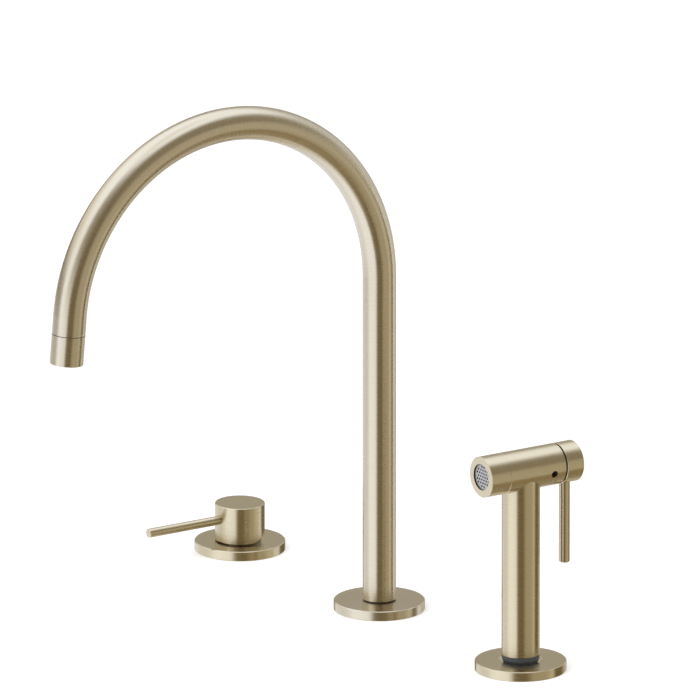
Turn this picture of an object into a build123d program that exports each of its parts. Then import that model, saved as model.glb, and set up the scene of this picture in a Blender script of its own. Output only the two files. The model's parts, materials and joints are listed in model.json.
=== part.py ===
from build123d import *
from math import cos, radians, sin
import os

# Three deck units stand in a row along X: lever mixer at -X, swivel spout at the origin,
# lift-out side spray at +X. Z = 0 is the deck, and spout, lever and spray head point to -Y.
# Every size is in millimetres.

# ---- layout -------------------------------------------------------------------------------
UNIT_SPACING = 166.5
DECK_THICKNESS = 30.0

# ---- clearances ---------------------------------------------------------------------------
SEATED_CLEARANCE = 0.05     # radial, between pieces fixed to each other
RUNNING_CLEARANCE = 0.08    # radial, between a journal and its bore
FREE_CLEARANCE = 0.4        # radial, between curved faces that only pass each other
SIDE_CLEARANCE = 0.3        # between faces of a hinge and its fork
CUT_MARGIN = 1.0            # how far a cut reaches past the surface that it opens

# ---- base discs and deck fixings, the same on all three units -------------------------------
DISC_RADIUS = 30.0
DISC_THICKNESS = 6.5
DISC_TOP_CHAMFER = 0.5
DISC_BOTTOM_CHAMFER = 0.3
FLANGE_WIDTH = 6.0          # shank flange, in a recess under the disc
FLANGE_THICKNESS = 3.0
FLANGE_CLEARANCE = 0.2
GASKET_EDGE = 1.5
GASKET_WIDTH = 3.0
GASKET_THICKNESS = 1.6
SHANK_LENGTH = 62.0         # below the deck surface
SHANK_CHAMFER = 1.0
WASHER_WIDTH = 8.0
RUBBER_WASHER_THICKNESS = 3.0
CLAMP_WASHER_THICKNESS = 1.5
LOCK_NUT_WALL = 4.5         # shank to flat
LOCK_NUT_HEIGHT = 7.0
LOCK_NUT_CHAMFER = 1.0

# ---- seals ----------------------------------------------------------------------------------
O_RING_SECTION = 1.8
O_RING_GROOVE = 2.4
O_RING_CLEARANCE = 0.02

# ---- spout ----------------------------------------------------------------------------------
TUBE_RADIUS = 11.0
TUBE_WALL = 1.2
TUBE_GAP = 0.9              # shadow gap under the column, taken up by the thrust washer
SPOUT_RISE = 227.6          # height where the arc starts
ARC_RADIUS = 121.2
ARC_SWEEP = 175.0
SPOUT_DROP = 12.0
COLLAR_LENGTH = 20.0
COLLAR_SEAM = 0.15
COLLAR_SPIGOT_LENGTH = 8.0
COLLAR_WALL = 1.65
COLLAR_SHOULDER = 1.8
AERATOR_RECESS = 1.4
AERATOR_WALL = 1.0
AERATOR_GRID_THICKNESS = 1.8
AERATOR_CELL = 2.5          # pitch of the honeycomb
AERATOR_WEB = 0.5
AERATOR_SEAL_THICKNESS = 1.2
MOUTH_ROUND = 0.3
SWIVEL_SLEEVE_WALL = 1.7
SWIVEL_SLEEVE_OVERLAP = 4.9  # sleeve past the top of the spigot
SPIGOT_HEIGHT = 64.0        # above the disc
SPIGOT_WALL = 2.8
SPIGOT_CHAMFER = 0.8
NECK_INSET = 0.8
WASHER_INSET = 0.5
O_RING_FROM_TOP = 6.0
O_RING_PITCH = 10.0
GRUB_RADIUS = 2.0
GRUB_DOG_RADIUS = 1.4
GRUB_DOG_LENGTH = 1.0
GRUB_SOCKET_RADIUS = 1.15
GRUB_SOCKET_DEPTH = 1.6
RETAINER_HEIGHT = 13.7      # grub screw above the disc
RETAINER_GROOVE_DEPTH = 1.3
DIVERTER_RADIUS = 8.9
DIVERTER_LENGTH = 34.0
DIVERTER_TOP = -4.0
DIVERTER_SEAT_RADIUS = 4.0
SPOOL_RADIUS = 5.2
SPOOL_LENGTH = 12.0
SPOOL_STROKE = 3.0
SPOOL_BORE = 2.2
DIVERTER_END = 8.0          # length of the lower seat
DIVERTER_WINDOW_RADIUS = 1.6
TEE_RADIUS = 13.0
TEE_HEIGHT = 22.0
TEE_BORE = 5.0
TEE_BOSS_RADIUS = 10.5      # flat boss under the side tail
TEE_BOSS_PROUD = 1.0
HOSE_TAIL_RADIUS = 8.3      # 3/8 inch pipe thread
HOSE_TAIL_LENGTH = 12.0
HOSE_TAIL_CHAMFER = 0.9

# ---- mixer ----------------------------------------------------------------------------------
KNOB_RADIUS = 16.5
KNOB_GAP = 1.1              # above the disc
KNOB_HEIGHT = 24.4
KNOB_TOP_ROUND = 0.4
KNOB_BEVEL_ANGLE = 17.9     # rear half of the bottom edge
KNOB_WALL = 1.9
PIVOT_ABOVE_DISC = 1.5
DOME_CLEARANCE = 0.6
DOME_SHELL = 1.6
DOME_NUT_SKIRT = 8.0
DOME_NUT_SKIRT_WALL = 0.85
NECK_BELOW_DISC_TOP = 1.5
DOME_OPENING_INSET = 1.9
LEVER_RADIUS = 3.0
LEVER_HEIGHT = 22.3
LEVER_TIP = 72.5            # reach from the column axis
LEVER_ROOT = 9.9
LEVER_TIP_CHAMFER = 0.4
KNOB_SCREW_HEIGHT = 25.6
KNOB_SCREW_LENGTH = 5.0
SHANK_WALL = 3.55
CARTRIDGE_TOP = 3.0         # above the tilt pivot
CARTRIDGE_BOTTOM = 28.0     # below the tilt pivot
CARTRIDGE_WALL = 1.9
CARTRIDGE_LEDGE = 6.0       # retaining ledge, below the tilt pivot
CARTRIDGE_LEDGE_WIDTH = 1.2
ROTOR_FLANGE_THICKNESS = 4.0
ROTOR_TOP = 6.5             # above the tilt pivot
ROTOR_RIM = 3.2
TURN_LIMIT = 50.0           # degrees to hot and to cold
STOP_HALF_ANGLE = 8.0       # stop rib in the housing
STOP_PLAY = 0.5             # degrees
STEM_WIDTH = 7.0
STEM_SIDE_CLEARANCE = 0.1
STEM_TOP = 21.0             # above the tilt pivot
STEM_BLOCK_DROP = 5.0
STEM_SOCKET_DEPTH = 0.2
STEM_PIN_RADIUS = 1.5
BALL_ARM = 11.5
BALL_ARM_RADIUS = 2.0
BALL_RADIUS = 2.4
DISC_TRAVEL = 3.4
CARRIER_THICKNESS = 3.9
CARRIER_GAP = 0.3
KEY_HEIGHT = 1.5            # carrier key, which runs in the slot of the rotor
KEY_LENGTH = 2.0
KEY_BEHIND_ARM = 1.0
CERAMIC_THICKNESS = 3.5
CERAMIC_POCKET_DEPTH = 2.0
CERAMIC_POCKET_RADIUS = 5.0
CARTRIDGE_FOOT = 2.0
PORT_COUNT = 3
CARTRIDGE_PORT_PITCH = 6.6
CARTRIDGE_PORT_RADIUS = 2.2
PORT_SEAL_WIDTH = 1.2
PORT_SEAL_THICKNESS = 1.1
HOSE_PORT_PITCH = 7.6
HOSE_PORT_RADIUS = 4.5      # 10 mm fine thread, tapped
HOSE_PORT_DEPTH = 14.0

# ---- side spray -----------------------------------------------------------------------------
HANDLE_RADIUS = 12.5
HANDLE_BOTTOM = 10.5
HANDLE_WALL = 2.0
HANDLE_EDGE = 0.3
HEAD_HEIGHT = 135.4
HEAD_RADIUS = 13.5
HEAD_WALL = 2.1
HEAD_REAR = 27.0
HEAD_EDGE = 0.4
HEAD_FRONT = 16.0           # joint with the nozzle collar
NOZZLE_LENGTH = 15.2
NOZZLE_SEAM = 0.2
NOZZLE_SPIGOT_LENGTH = 7.0
NOZZLE_SPIGOT_WALL = 1.95
NOZZLE_LIP = 1.4
NOZZLE_LIP_WIDTH = 0.65
NOZZLE_FACE_ROUND = 0.35
FACE_THICKNESS = 1.0
FACE_SKIRT_WALL = 1.0
FACE_HOLE_RADIUS = 0.75
FACE_HOLE_PITCH = 2.5
FACE_RIM = 0.45             # between the outermost holes and the skirt
FACE_SEAL_THICKNESS = 1.5
TEE_FILLET = 0.9
SLEEVE_STEP = 0.1
SLEEVE_COLLAR_BOTTOM = 8.0
SLEEVE_TAPER_BOTTOM = 4.5
SLEEVE_SPIGOT_LENGTH = 13.5
SLEEVE_NECK_INSET = 1.5
SLEEVE_TIP_INSET = 0.4        # from the neck
SLEEVE_DEPTH = 26.0
SOCKET_MOUTH_WIDTH = 3.4
SOCKET_MOUTH_DEPTH = 2.8
LINER_WALL = 1.7
LINER_LEDGE = 2.0
LINER_LEDGE_WIDTH = 1.9
SOCKET_SHANK_WALL = 2.95
SOCKET_THROAT_INSET = 1.9
NIPPLE_JOURNAL_RADIUS = 7.6
NIPPLE_FLANGE_WIDTH = 1.2
NIPPLE_FLANGE_THICKNESS = 2.0
NIPPLE_LEDGE = 12.0
NIPPLE_JOURNAL_LENGTH = 16.0
NIPPLE_NECK_RADIUS = 6.2
NIPPLE_BORE = 4.2
NIPPLE_THREAD_RADIUS = 7.5  # 15 mm hose thread
NIPPLE_THREAD_LENGTH = 14.0
NIPPLE_NECK_LENGTH = 26.0
NIPPLE_O_RING_PITCH = 6.0
CHECK_VALVE_RADIUS = 5.0
CHECK_VALVE_LENGTH = 8.0
CHECK_VALVE_BORE = 3.2
CAP_GAP = 1.2
CAP_LENGTH = 12.9
CAP_WALL = 2.5
CAP_EDGE = 0.4
CAP_REAR_ROUND = 0.6
TRIGGER_PIVOT_BEHIND_CAP_FACE = 2.8
TRIGGER_PIVOT_DROP = 7.0
TRIGGER_PIN_RADIUS = 1.5
TRIGGER_EAR_WIDTH = 3.0
TRIGGER_EAR_RADIUS = 2.8
TONGUE_WIDTH = 6.0
TONGUE_RADIUS = 2.6
TRIGGER_LEVER_RADIUS = 3.6
TRIGGER_LEVER_BEHIND_CAP_FACE = 6.0
TRIGGER_LEVER_END = 67.5
TRIGGER_LEVER_CHAMFER = 0.7
TRIGGER_STUD_RADIUS = 2.0
TRIGGER_SEAT_DEPTH = 0.7
VALVE_FRONT = 8.5
VALVE_REAR_INSET = 0.6
VALVE_MOUTH_RADIUS = 8.0
VALVE_MOUTH_DEPTH = 3.5
VALVE_SEAT_RADIUS = 4.0
VALVE_SEAT_FACE = 4.0
VALVE_CHAMBER_RADIUS = 6.5
VALVE_CHAMBER_REAR = 12.0
VALVE_INLET_RADIUS = 5.0
VALVE_SEAL_RADIUS = 5.2
VALVE_SEAL_THICKNESS = 2.4
VALVE_STEM_RADIUS = 1.5
VALVE_STEM_NOSE = 2.0
VALVE_FLANGE_THICKNESS = 1.6
VALVE_BUTTON_RADIUS = 2.2
VALVE_BUTTON_LENGTH = 1.4
CLAW_THICKNESS = 1.3
CLAW_PLAY = 0.6
CLAW_BOTTOM = 4.0
CLAW_TOP = 5.5
CLAW_BEHIND_CAP_FACE = 1.9
SPRING_RADIUS = 3.6
SPRING_WIRE_RADIUS = 0.45
SPRING_TURNS = 5
HEAD_SCREW_BEHIND_AXIS = 17.75
HEAD_SCREW_DIP = 12.0       # degrees below horizontal
HEAD_SCREW_RADIUS = 2.35
HEAD_SCREW_LENGTH = 2.2
HEAD_SCREW_RECESS = 1.2

# ---- levels and radii worked out from the sizes above ---------------------------------------
DISC_TOP = DISC_THICKNESS
TUBE_BORE = TUBE_RADIUS - TUBE_WALL
TUBE_BOTTOM = DISC_TOP + TUBE_GAP
SWIVEL_SLEEVE_RADIUS = TUBE_BORE - SEATED_CLEARANCE
SWIVEL_BORE = SWIVEL_SLEEVE_RADIUS - SWIVEL_SLEEVE_WALL
SPIGOT_RADIUS = SWIVEL_BORE - RUNNING_CLEARANCE
SPIGOT_BORE = SPIGOT_RADIUS - SPIGOT_WALL
SPIGOT_TOP = DISC_TOP + SPIGOT_HEIGHT
SPOUT_NECK_RADIUS = TUBE_RADIUS - NECK_INSET

TILT_PIVOT = DISC_TOP + PIVOT_ABOVE_DISC
KNOB_BOTTOM = DISC_TOP + KNOB_GAP
KNOB_TOP = KNOB_BOTTOM + KNOB_HEIGHT
KNOB_BORE = KNOB_RADIUS - KNOB_WALL
DOME_RADIUS = KNOB_BORE - DOME_CLEARANCE
CARTRIDGE_RADIUS = DOME_RADIUS - DOME_SHELL
VALVE_BODY_BORE = CARTRIDGE_RADIUS + SEATED_CLEARANCE
SHANK_RADIUS = VALVE_BODY_BORE + SHANK_WALL
MIXER_NECK_TOP = DISC_TOP - NECK_BELOW_DISC_TOP
CARTRIDGE_BORE = CARTRIDGE_RADIUS - CARTRIDGE_WALL
ROTOR_RADIUS = CARTRIDGE_BORE - CARTRIDGE_LEDGE_WIDTH - RUNNING_CLEARANCE
ROTOR_FLANGE_BOTTOM = TILT_PIVOT - CARTRIDGE_LEDGE - ROTOR_FLANGE_THICKNESS
CARRIER_TOP = ROTOR_FLANGE_BOTTOM - CARRIER_GAP
CARRIER_BOTTOM = CARRIER_TOP - CARRIER_THICKNESS
MOVING_DISC_BOTTOM = CARRIER_BOTTOM - CERAMIC_THICKNESS
FIXED_DISC_BOTTOM = MOVING_DISC_BOTTOM - CERAMIC_THICKNESS
CARRIER_RADIUS = CARTRIDGE_BORE - DISC_TRAVEL / 2 - FREE_CLEARANCE
HOUSING_BOTTOM = TILT_PIVOT - CARTRIDGE_BOTTOM
CARTRIDGE_FLOOR = HOUSING_BOTTOM - CARTRIDGE_FOOT
PORT_ANGLES = [90.0 + 360.0 / PORT_COUNT * index for index in range(PORT_COUNT)]

SLEEVE_RADIUS = HANDLE_RADIUS - SLEEVE_STEP
SLEEVE_NECK_RADIUS = SLEEVE_RADIUS - SLEEVE_NECK_INSET
HANDLE_BORE = HANDLE_RADIUS - HANDLE_WALL
LINER_BORE = SLEEVE_NECK_RADIUS + FREE_CLEARANCE
LINER_RADIUS = LINER_BORE + LINER_WALL
LINER_BOTTOM = -SLEEVE_DEPTH - LINER_LEDGE
SOCKET_BORE = LINER_RADIUS + SEATED_CLEARANCE
SOCKET_SHANK_RADIUS = SOCKET_BORE + SOCKET_SHANK_WALL
NIPPLE_BORE_IN_SLEEVE = NIPPLE_JOURNAL_RADIUS + RUNNING_CLEARANCE
NIPPLE_FLANGE_RADIUS = NIPPLE_JOURNAL_RADIUS + NIPPLE_FLANGE_WIDTH
NIPPLE_TOP = NIPPLE_LEDGE + NIPPLE_FLANGE_THICKNESS
NIPPLE_JOURNAL_BOTTOM = NIPPLE_LEDGE - NIPPLE_JOURNAL_LENGTH
NIPPLE_NECK_BOTTOM = NIPPLE_JOURNAL_BOTTOM - NIPPLE_NECK_LENGTH
HEAD_BORE = HEAD_RADIUS - HEAD_WALL
VALVE_RADIUS = HEAD_BORE - SEATED_CLEARANCE
CAP_FRONT = HEAD_REAR + CAP_GAP
CAP_REAR = CAP_FRONT + CAP_LENGTH
CAP_BORE = HEAD_RADIUS - CAP_WALL
TRIGGER_PIVOT_Y = CAP_FRONT + TRIGGER_PIVOT_BEHIND_CAP_FACE
TRIGGER_PIVOT_Z = HEAD_HEIGHT - TRIGGER_PIVOT_DROP
TRIGGER_LEVER_Y = CAP_FRONT + TRIGGER_LEVER_BEHIND_CAP_FACE
CLAW_FRONT = CAP_FRONT + CLAW_BEHIND_CAP_FACE
BUTTON_FRONT = CLAW_FRONT + CLAW_THICKNESS + CLAW_PLAY
NOZZLE_FACE = -HEAD_FRONT - NOZZLE_LENGTH
NOZZLE_BORE = HEAD_BORE - NOZZLE_SPIGOT_WALL
HEAD_PLANE = Plane(origin=(0, 0, HEAD_HEIGHT), x_dir=(1, 0, 0), z_dir=(0, 1, 0))


# ---- shapes shared by many pieces -----------------------------------------------------------
def turned(*corners):
    """A solid turned about Z from (radius, height) corners."""
    outline = Polyline(*[(radius, 0, height) for radius, height in corners], close=True)
    return revolve(make_face(outline), Axis.Z)


def rod(radius, bottom, top):
    return turned((0, bottom), (radius, bottom), (radius, top), (0, top))


def ring(outer, inner, bottom, top):
    return turned((inner, bottom), (outer, bottom), (outer, top), (inner, top))


def ring_sector(outer, inner, bottom, top, half_angle):
    """The part of a ring within a half angle of the +Y direction."""
    outline = Polyline((inner, 0, bottom), (outer, 0, bottom), (outer, 0, top), (inner, 0, top), close=True)
    sector = revolve(make_face(outline), Axis.Z, 2 * half_angle)
    return Rot(0, 0, 90 - half_angle) * sector


def along(direction, radius, start, end, origin=(0, 0, 0)):
    """A rod that runs from start to end along a direction through origin."""
    return Plane(origin=origin, z_dir=direction) * rod(radius, start, end)


def block(x_range, y_range, z_range):
    sizes = [high - low for low, high in (x_range, y_range, z_range)]
    corner = Pos(x_range[0], y_range[0], z_range[0])
    return corner * Box(*sizes, align=(Align.MIN, Align.MIN, Align.MIN))


def o_ring(bore, height):
    """The ring that seals a groove to the bore around it."""
    section = O_RING_SECTION / 2
    return Pos(0, 0, height) * Torus(bore - O_RING_CLEARANCE - section, section)


def o_ring_groove(bore, journal, height):
    floor = bore - 2 * O_RING_CLEARANCE - O_RING_SECTION
    return ring(journal + CUT_MARGIN, floor, height - O_RING_GROOVE / 2, height + O_RING_GROOVE / 2)


def polar_points(pitch_radius, angles):
    return [(pitch_radius * cos(radians(a)), pitch_radius * sin(radians(a))) for a in angles]


def honeycomb_points(pitch, limit):
    """Centres of a hexagonal pattern inside a circle of the limit radius."""
    points = []
    rows = int(limit / (pitch * sin(radians(60)))) + 1
    for row in range(-rows, rows + 1):
        y = row * pitch * sin(radians(60))
        shift = pitch / 2 if row % 2 else 0.0
        for column in range(-rows - 1, rows + 2):
            x = column * pitch + shift
            if x * x + y * y <= limit * limit:
                points.append((x, y))
    return points


def grub_screw(tip, length, radius=GRUB_RADIUS):
    """A dog-point grub screw along +Z, with its tip at the given height."""
    top = tip + length
    body = turned(
        (0, tip),
        (GRUB_DOG_RADIUS, tip),
        (GRUB_DOG_RADIUS, tip + GRUB_DOG_LENGTH),
        (radius, tip + GRUB_DOG_LENGTH),
        (radius, top),
        (0, top),
    )
    socket = extrude(RegularPolygon(GRUB_SOCKET_RADIUS, 6), GRUB_SOCKET_DEPTH)
    return body - Pos(0, 0, top - GRUB_SOCKET_DEPTH) * socket


# ---- deck fixing of one unit ----------------------------------------------------------------
def base_disc(hole_radius, flange_radius):
    recess = flange_radius + FLANGE_CLEARANCE
    return turned(
        (recess, 0),
        (DISC_RADIUS - DISC_BOTTOM_CHAMFER, 0),
        (DISC_RADIUS, DISC_BOTTOM_CHAMFER),
        (DISC_RADIUS, DISC_TOP - DISC_TOP_CHAMFER),
        (DISC_RADIUS - DISC_TOP_CHAMFER, DISC_TOP),
        (hole_radius, DISC_TOP),
        (hole_radius, FLANGE_THICKNESS),
        (recess, FLANGE_THICKNESS),
    )


def shank_blank(shank_radius):
    """Threaded shank with its flange, before its bores are made."""
    flange_radius = shank_radius + FLANGE_WIDTH
    gasket_outer = flange_radius - GASKET_EDGE
    return turned(
        (0, -SHANK_LENGTH),
        (shank_radius - SHANK_CHAMFER, -SHANK_LENGTH),
        (shank_radius, SHANK_CHAMFER - SHANK_LENGTH),
        (shank_radius, 0),
        (gasket_outer - GASKET_WIDTH, 0),
        (gasket_outer - GASKET_WIDTH, GASKET_THICKNESS),
        (gasket_outer, GASKET_THICKNESS),
        (gasket_outer, 0),
        (flange_radius, 0),
        (flange_radius, FLANGE_THICKNESS),
        (0, FLANGE_THICKNESS),
    )


def deck_fixing(unit, shank_radius):
    """Gasket above the deck, then rubber washer, clamp washer and lock nut below it."""
    gasket_outer = shank_radius + FLANGE_WIDTH - GASKET_EDGE
    bore = shank_radius + SEATED_CLEARANCE
    rubber_bottom = -DECK_THICKNESS - RUBBER_WASHER_THICKNESS
    clamp_bottom = rubber_bottom - CLAMP_WASHER_THICKNESS
    nut_bottom = clamp_bottom - LOCK_NUT_HEIGHT
    flat = shank_radius + LOCK_NUT_WALL
    corner_limit = 2 * flat / 3 ** 0.5
    hexagon = extrude(RegularPolygon(flat, 6, major_radius=False), LOCK_NUT_HEIGHT)
    rounded = turned(
        (bore, nut_bottom),
        (corner_limit - LOCK_NUT_CHAMFER, nut_bottom),
        (corner_limit, nut_bottom + LOCK_NUT_CHAMFER / 2),
        (corner_limit, clamp_bottom),
        (bore, clamp_bottom),
    )
    return {
        unit + "_base_gasket": ring(gasket_outer, gasket_outer - GASKET_WIDTH, 0, GASKET_THICKNESS),
        unit + "_rubber_washer": ring(shank_radius + WASHER_WIDTH, bore, rubber_bottom, -DECK_THICKNESS),
        unit + "_clamp_washer": ring(shank_radius + WASHER_WIDTH, bore, clamp_bottom, rubber_bottom),
        unit + "_lock_nut": rounded & Pos(0, 0, nut_bottom) * hexagon,
    }


# ---- spout ----------------------------------------------------------------------------------
def spout_centreline():
    """Straight rise, arc and short drop; returns the path and the plane at its lower end."""
    side = Plane(origin=(0, 0, 0), x_dir=(0, -1, 0), z_dir=(-1, 0, 0))
    rise = Line((0, TUBE_BOTTOM), (0, SPOUT_RISE))
    bend = JernArc((0, SPOUT_RISE), (0, 1), ARC_RADIUS, -ARC_SWEEP)
    drop = Line(bend @ 1, bend @ 1 + (bend % 1) * SPOUT_DROP)
    path = side * (rise + bend + drop)
    end = side * drop
    return path, Plane(origin=end @ 1, x_dir=(1, 0, 0), z_dir=end % 1)


def spout_tube(path):
    section = Pos(0, 0, TUBE_BOTTOM) * (Circle(TUBE_RADIUS) - Circle(TUBE_BORE))
    tube = sweep(section, path=path)
    screw_centre = (0, 0, DISC_TOP + RETAINER_HEIGHT)
    return tube - along((0, 1, 0), GRUB_RADIUS + RUNNING_CLEARANCE, TUBE_BORE - CUT_MARGIN,
                        TUBE_RADIUS + CUT_MARGIN, screw_centre)


def spout_shank():
    """Threaded shank that carries the diverter below and the swivel spigot above."""
    screw_height = DISC_TOP + RETAINER_HEIGHT
    groove_half = GRUB_RADIUS + RUNNING_CLEARANCE
    spigot = turned(
        (0, DISC_TOP),
        (SPIGOT_RADIUS, DISC_TOP),
        (SPIGOT_RADIUS, SPIGOT_TOP - SPIGOT_CHAMFER),
        (SPIGOT_RADIUS - SPIGOT_CHAMFER, SPIGOT_TOP),
        (0, SPIGOT_TOP),
    )
    shank = shank_blank(SHANK_RADIUS) + rod(SPOUT_NECK_RADIUS, FLANGE_THICKNESS, DISC_TOP) + spigot
    shank -= ring(SPIGOT_RADIUS + CUT_MARGIN, SPIGOT_RADIUS - RETAINER_GROOVE_DEPTH,
                  screw_height - groove_half, screw_height + groove_half)
    for height in spout_o_ring_heights():
        shank -= o_ring_groove(SWIVEL_BORE, SPIGOT_RADIUS, height)
    shank -= rod(SPIGOT_BORE, DIVERTER_TOP, SPIGOT_TOP)
    return shank - rod(DIVERTER_RADIUS + SEATED_CLEARANCE, -SHANK_LENGTH, DIVERTER_TOP)


def spout_o_ring_heights():
    upper = SPIGOT_TOP - O_RING_FROM_TOP
    return [upper, upper - O_RING_PITCH]


def spout_retaining_screw():
    tip = SPIGOT_RADIUS - RETAINER_GROOVE_DEPTH + SIDE_CLEARANCE
    length = TUBE_RADIUS - SEATED_CLEARANCE - tip
    plane = Plane(origin=(0, 0, DISC_TOP + RETAINER_HEIGHT), z_dir=(0, 1, 0))
    return plane * grub_screw(tip, length)


def swivel_sleeve():
    sleeve = ring(SWIVEL_SLEEVE_RADIUS, SWIVEL_BORE, TUBE_BOTTOM, SPIGOT_TOP + SWIVEL_SLEEVE_OVERLAP)
    screw_centre = (0, 0, DISC_TOP + RETAINER_HEIGHT)
    return sleeve - along((0, 1, 0), GRUB_RADIUS + SEATED_CLEARANCE, SWIVEL_BORE - CUT_MARGIN,
                          SWIVEL_SLEEVE_RADIUS + CUT_MARGIN, screw_centre)


def outlet_collar():
    """Aerator housing; height 0 is the seam with the tube and height grows towards the mouth."""
    throat = TUBE_BORE - SEATED_CLEARANCE - COLLAR_WALL - SEATED_CLEARANCE
    chamber = TUBE_RADIUS - COLLAR_WALL
    shoulder = COLLAR_LENGTH / 2 - COLLAR_SHOULDER
    return turned(
        (throat, -COLLAR_SPIGOT_LENGTH),
        (TUBE_BORE - SEATED_CLEARANCE, -COLLAR_SPIGOT_LENGTH),
        (TUBE_BORE - SEATED_CLEARANCE, 0),
        (TUBE_RADIUS - COLLAR_SEAM, 0),
        (TUBE_RADIUS, COLLAR_SEAM),
        (TUBE_RADIUS, COLLAR_LENGTH - MOUTH_ROUND),
        (TUBE_RADIUS - MOUTH_ROUND, COLLAR_LENGTH),
        (chamber + MOUTH_ROUND, COLLAR_LENGTH),
        (chamber, COLLAR_LENGTH - MOUTH_ROUND),
        (chamber, shoulder),
        (throat, shoulder),
    )


def aerator_insert():
    """Cup with a honeycomb outlet grid."""
    radius = TUBE_RADIUS - COLLAR_WALL - SEATED_CLEARANCE
    bore = radius - AERATOR_WALL
    top = COLLAR_LENGTH / 2 - COLLAR_SHOULDER + AERATOR_SEAL_THICKNESS
    mouth = COLLAR_LENGTH - AERATOR_RECESS
    grid = mouth - AERATOR_WEB
    cup = turned(
        (bore, top),
        (radius, top),
        (radius, mouth),
        (bore, mouth),
        (bore, grid),
        (0, grid),
        (0, grid - AERATOR_GRID_THICKNESS),
        (bore, grid - AERATOR_GRID_THICKNESS),
    )
    cell_corner = (AERATOR_CELL - AERATOR_WEB) / 3 ** 0.5
    cells = Sketch()
    for point in honeycomb_points(AERATOR_CELL, bore - cell_corner - AERATOR_WEB):
        cells += Pos(*point) * RegularPolygon(cell_corner, 6, rotation=30)
    return cup - Pos(0, 0, grid - AERATOR_GRID_THICKNESS) * extrude(cells, AERATOR_GRID_THICKNESS)


def aerator_seal():
    shoulder = COLLAR_LENGTH / 2 - COLLAR_SHOULDER
    outer = TUBE_RADIUS - COLLAR_WALL - SEATED_CLEARANCE
    return ring(outer, outer - AERATOR_WALL, shoulder, shoulder + AERATOR_SEAL_THICKNESS)


def diverter_body():
    """Plastic body in the shank; the spool lifts off its lower seat towards the upper one."""
    bottom = DIVERTER_TOP - DIVERTER_LENGTH
    lower_seat = bottom + DIVERTER_END
    upper_seat = lower_seat + SPOOL_LENGTH + SPOOL_STROKE
    body = turned(
        (DIVERTER_SEAT_RADIUS, bottom),
        (DIVERTER_RADIUS, bottom),
        (DIVERTER_RADIUS, DIVERTER_TOP),
        (DIVERTER_SEAT_RADIUS, DIVERTER_TOP),
        (DIVERTER_SEAT_RADIUS, upper_seat),
        (SPOOL_RADIUS + RUNNING_CLEARANCE, upper_seat),
        (SPOOL_RADIUS + RUNNING_CLEARANCE, lower_seat),
        (DIVERTER_SEAT_RADIUS, lower_seat),
    )
    centre = (0, 0, lower_seat + SPOOL_LENGTH / 2)
    reach = DIVERTER_RADIUS + CUT_MARGIN
    for direction in ((1, 0, 0), (0, 1, 0)):
        body -= along(direction, DIVERTER_WINDOW_RADIUS, -reach, reach, centre)
    return body


def diverter_spool():
    bottom = DIVERTER_TOP - DIVERTER_LENGTH + DIVERTER_END
    waist = SPOOL_RADIUS - O_RING_SECTION / 2
    third = SPOOL_LENGTH / 3
    return turned(
        (SPOOL_BORE, bottom),
        (SPOOL_RADIUS, bottom),
        (SPOOL_RADIUS, bottom + third),
        (waist, bottom + third),
        (waist, bottom + 2 * third),
        (SPOOL_RADIUS, bottom + 2 * third),
        (SPOOL_RADIUS, bottom + SPOOL_LENGTH),
        (SPOOL_BORE, bottom + SPOOL_LENGTH),
    )


def hose_tail(start, end):
    """Male hose thread along +Z."""
    return turned(
        (0, start),
        (HOSE_TAIL_RADIUS, start),
        (HOSE_TAIL_RADIUS, end - HOSE_TAIL_CHAMFER),
        (HOSE_TAIL_RADIUS - HOSE_TAIL_CHAMFER, end),
        (0, end),
    )


def inlet_tee():
    """Tee under the spout: feed from the mixer below, hose to the spray on the +X side."""
    top = -SHANK_LENGTH
    bottom = top - TEE_HEIGHT
    centre = (0, 0, (top + bottom) / 2)
    boss_end = TEE_RADIUS + TEE_BOSS_PROUD
    side_end = boss_end + HOSE_TAIL_LENGTH
    down = Plane(origin=(0, 0, bottom), z_dir=(0, 0, -1))
    sideways = Plane(origin=centre, z_dir=(1, 0, 0))
    tee = rod(DIVERTER_RADIUS, top, DIVERTER_TOP - DIVERTER_LENGTH)
    tee += rod(TEE_RADIUS, bottom, top)
    tee += down * hose_tail(0, HOSE_TAIL_LENGTH)
    tee += sideways * (rod(TEE_BOSS_RADIUS, 0, boss_end) + hose_tail(boss_end, side_end))
    tee -= rod(TEE_BORE, bottom - HOSE_TAIL_LENGTH, DIVERTER_TOP - DIVERTER_LENGTH)
    return tee - sideways * rod(TEE_BORE, 0, side_end)


def spout_unit():
    path, outlet = spout_centreline()
    washer_radius = TUBE_RADIUS - WASHER_INSET
    rings = [o_ring(SWIVEL_BORE, height) for height in spout_o_ring_heights()]
    pieces = {
        "spout_base_disc": base_disc(SPOUT_NECK_RADIUS + SEATED_CLEARANCE, SHANK_RADIUS + FLANGE_WIDTH),
        "spout_shank": spout_shank(),
        "spout_thrust_washer": ring(washer_radius, SPIGOT_RADIUS + SEATED_CLEARANCE, DISC_TOP, TUBE_BOTTOM),
        "spout_swivel_sleeve": swivel_sleeve(),
        "spout_swivel_o_rings": Compound(children=rings),
        "spout_retaining_screw": spout_retaining_screw(),
        "spout_tube": spout_tube(path),
        "outlet_collar": outlet * outlet_collar(),
        "aerator_insert": outlet * aerator_insert(),
        "aerator_seal": outlet * aerator_seal(),
        "diverter_body": diverter_body(),
        "diverter_spool": diverter_spool(),
        "inlet_tee": inlet_tee(),
    }
    pieces.update(deck_fixing("spout", SHANK_RADIUS))
    return pieces


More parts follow.
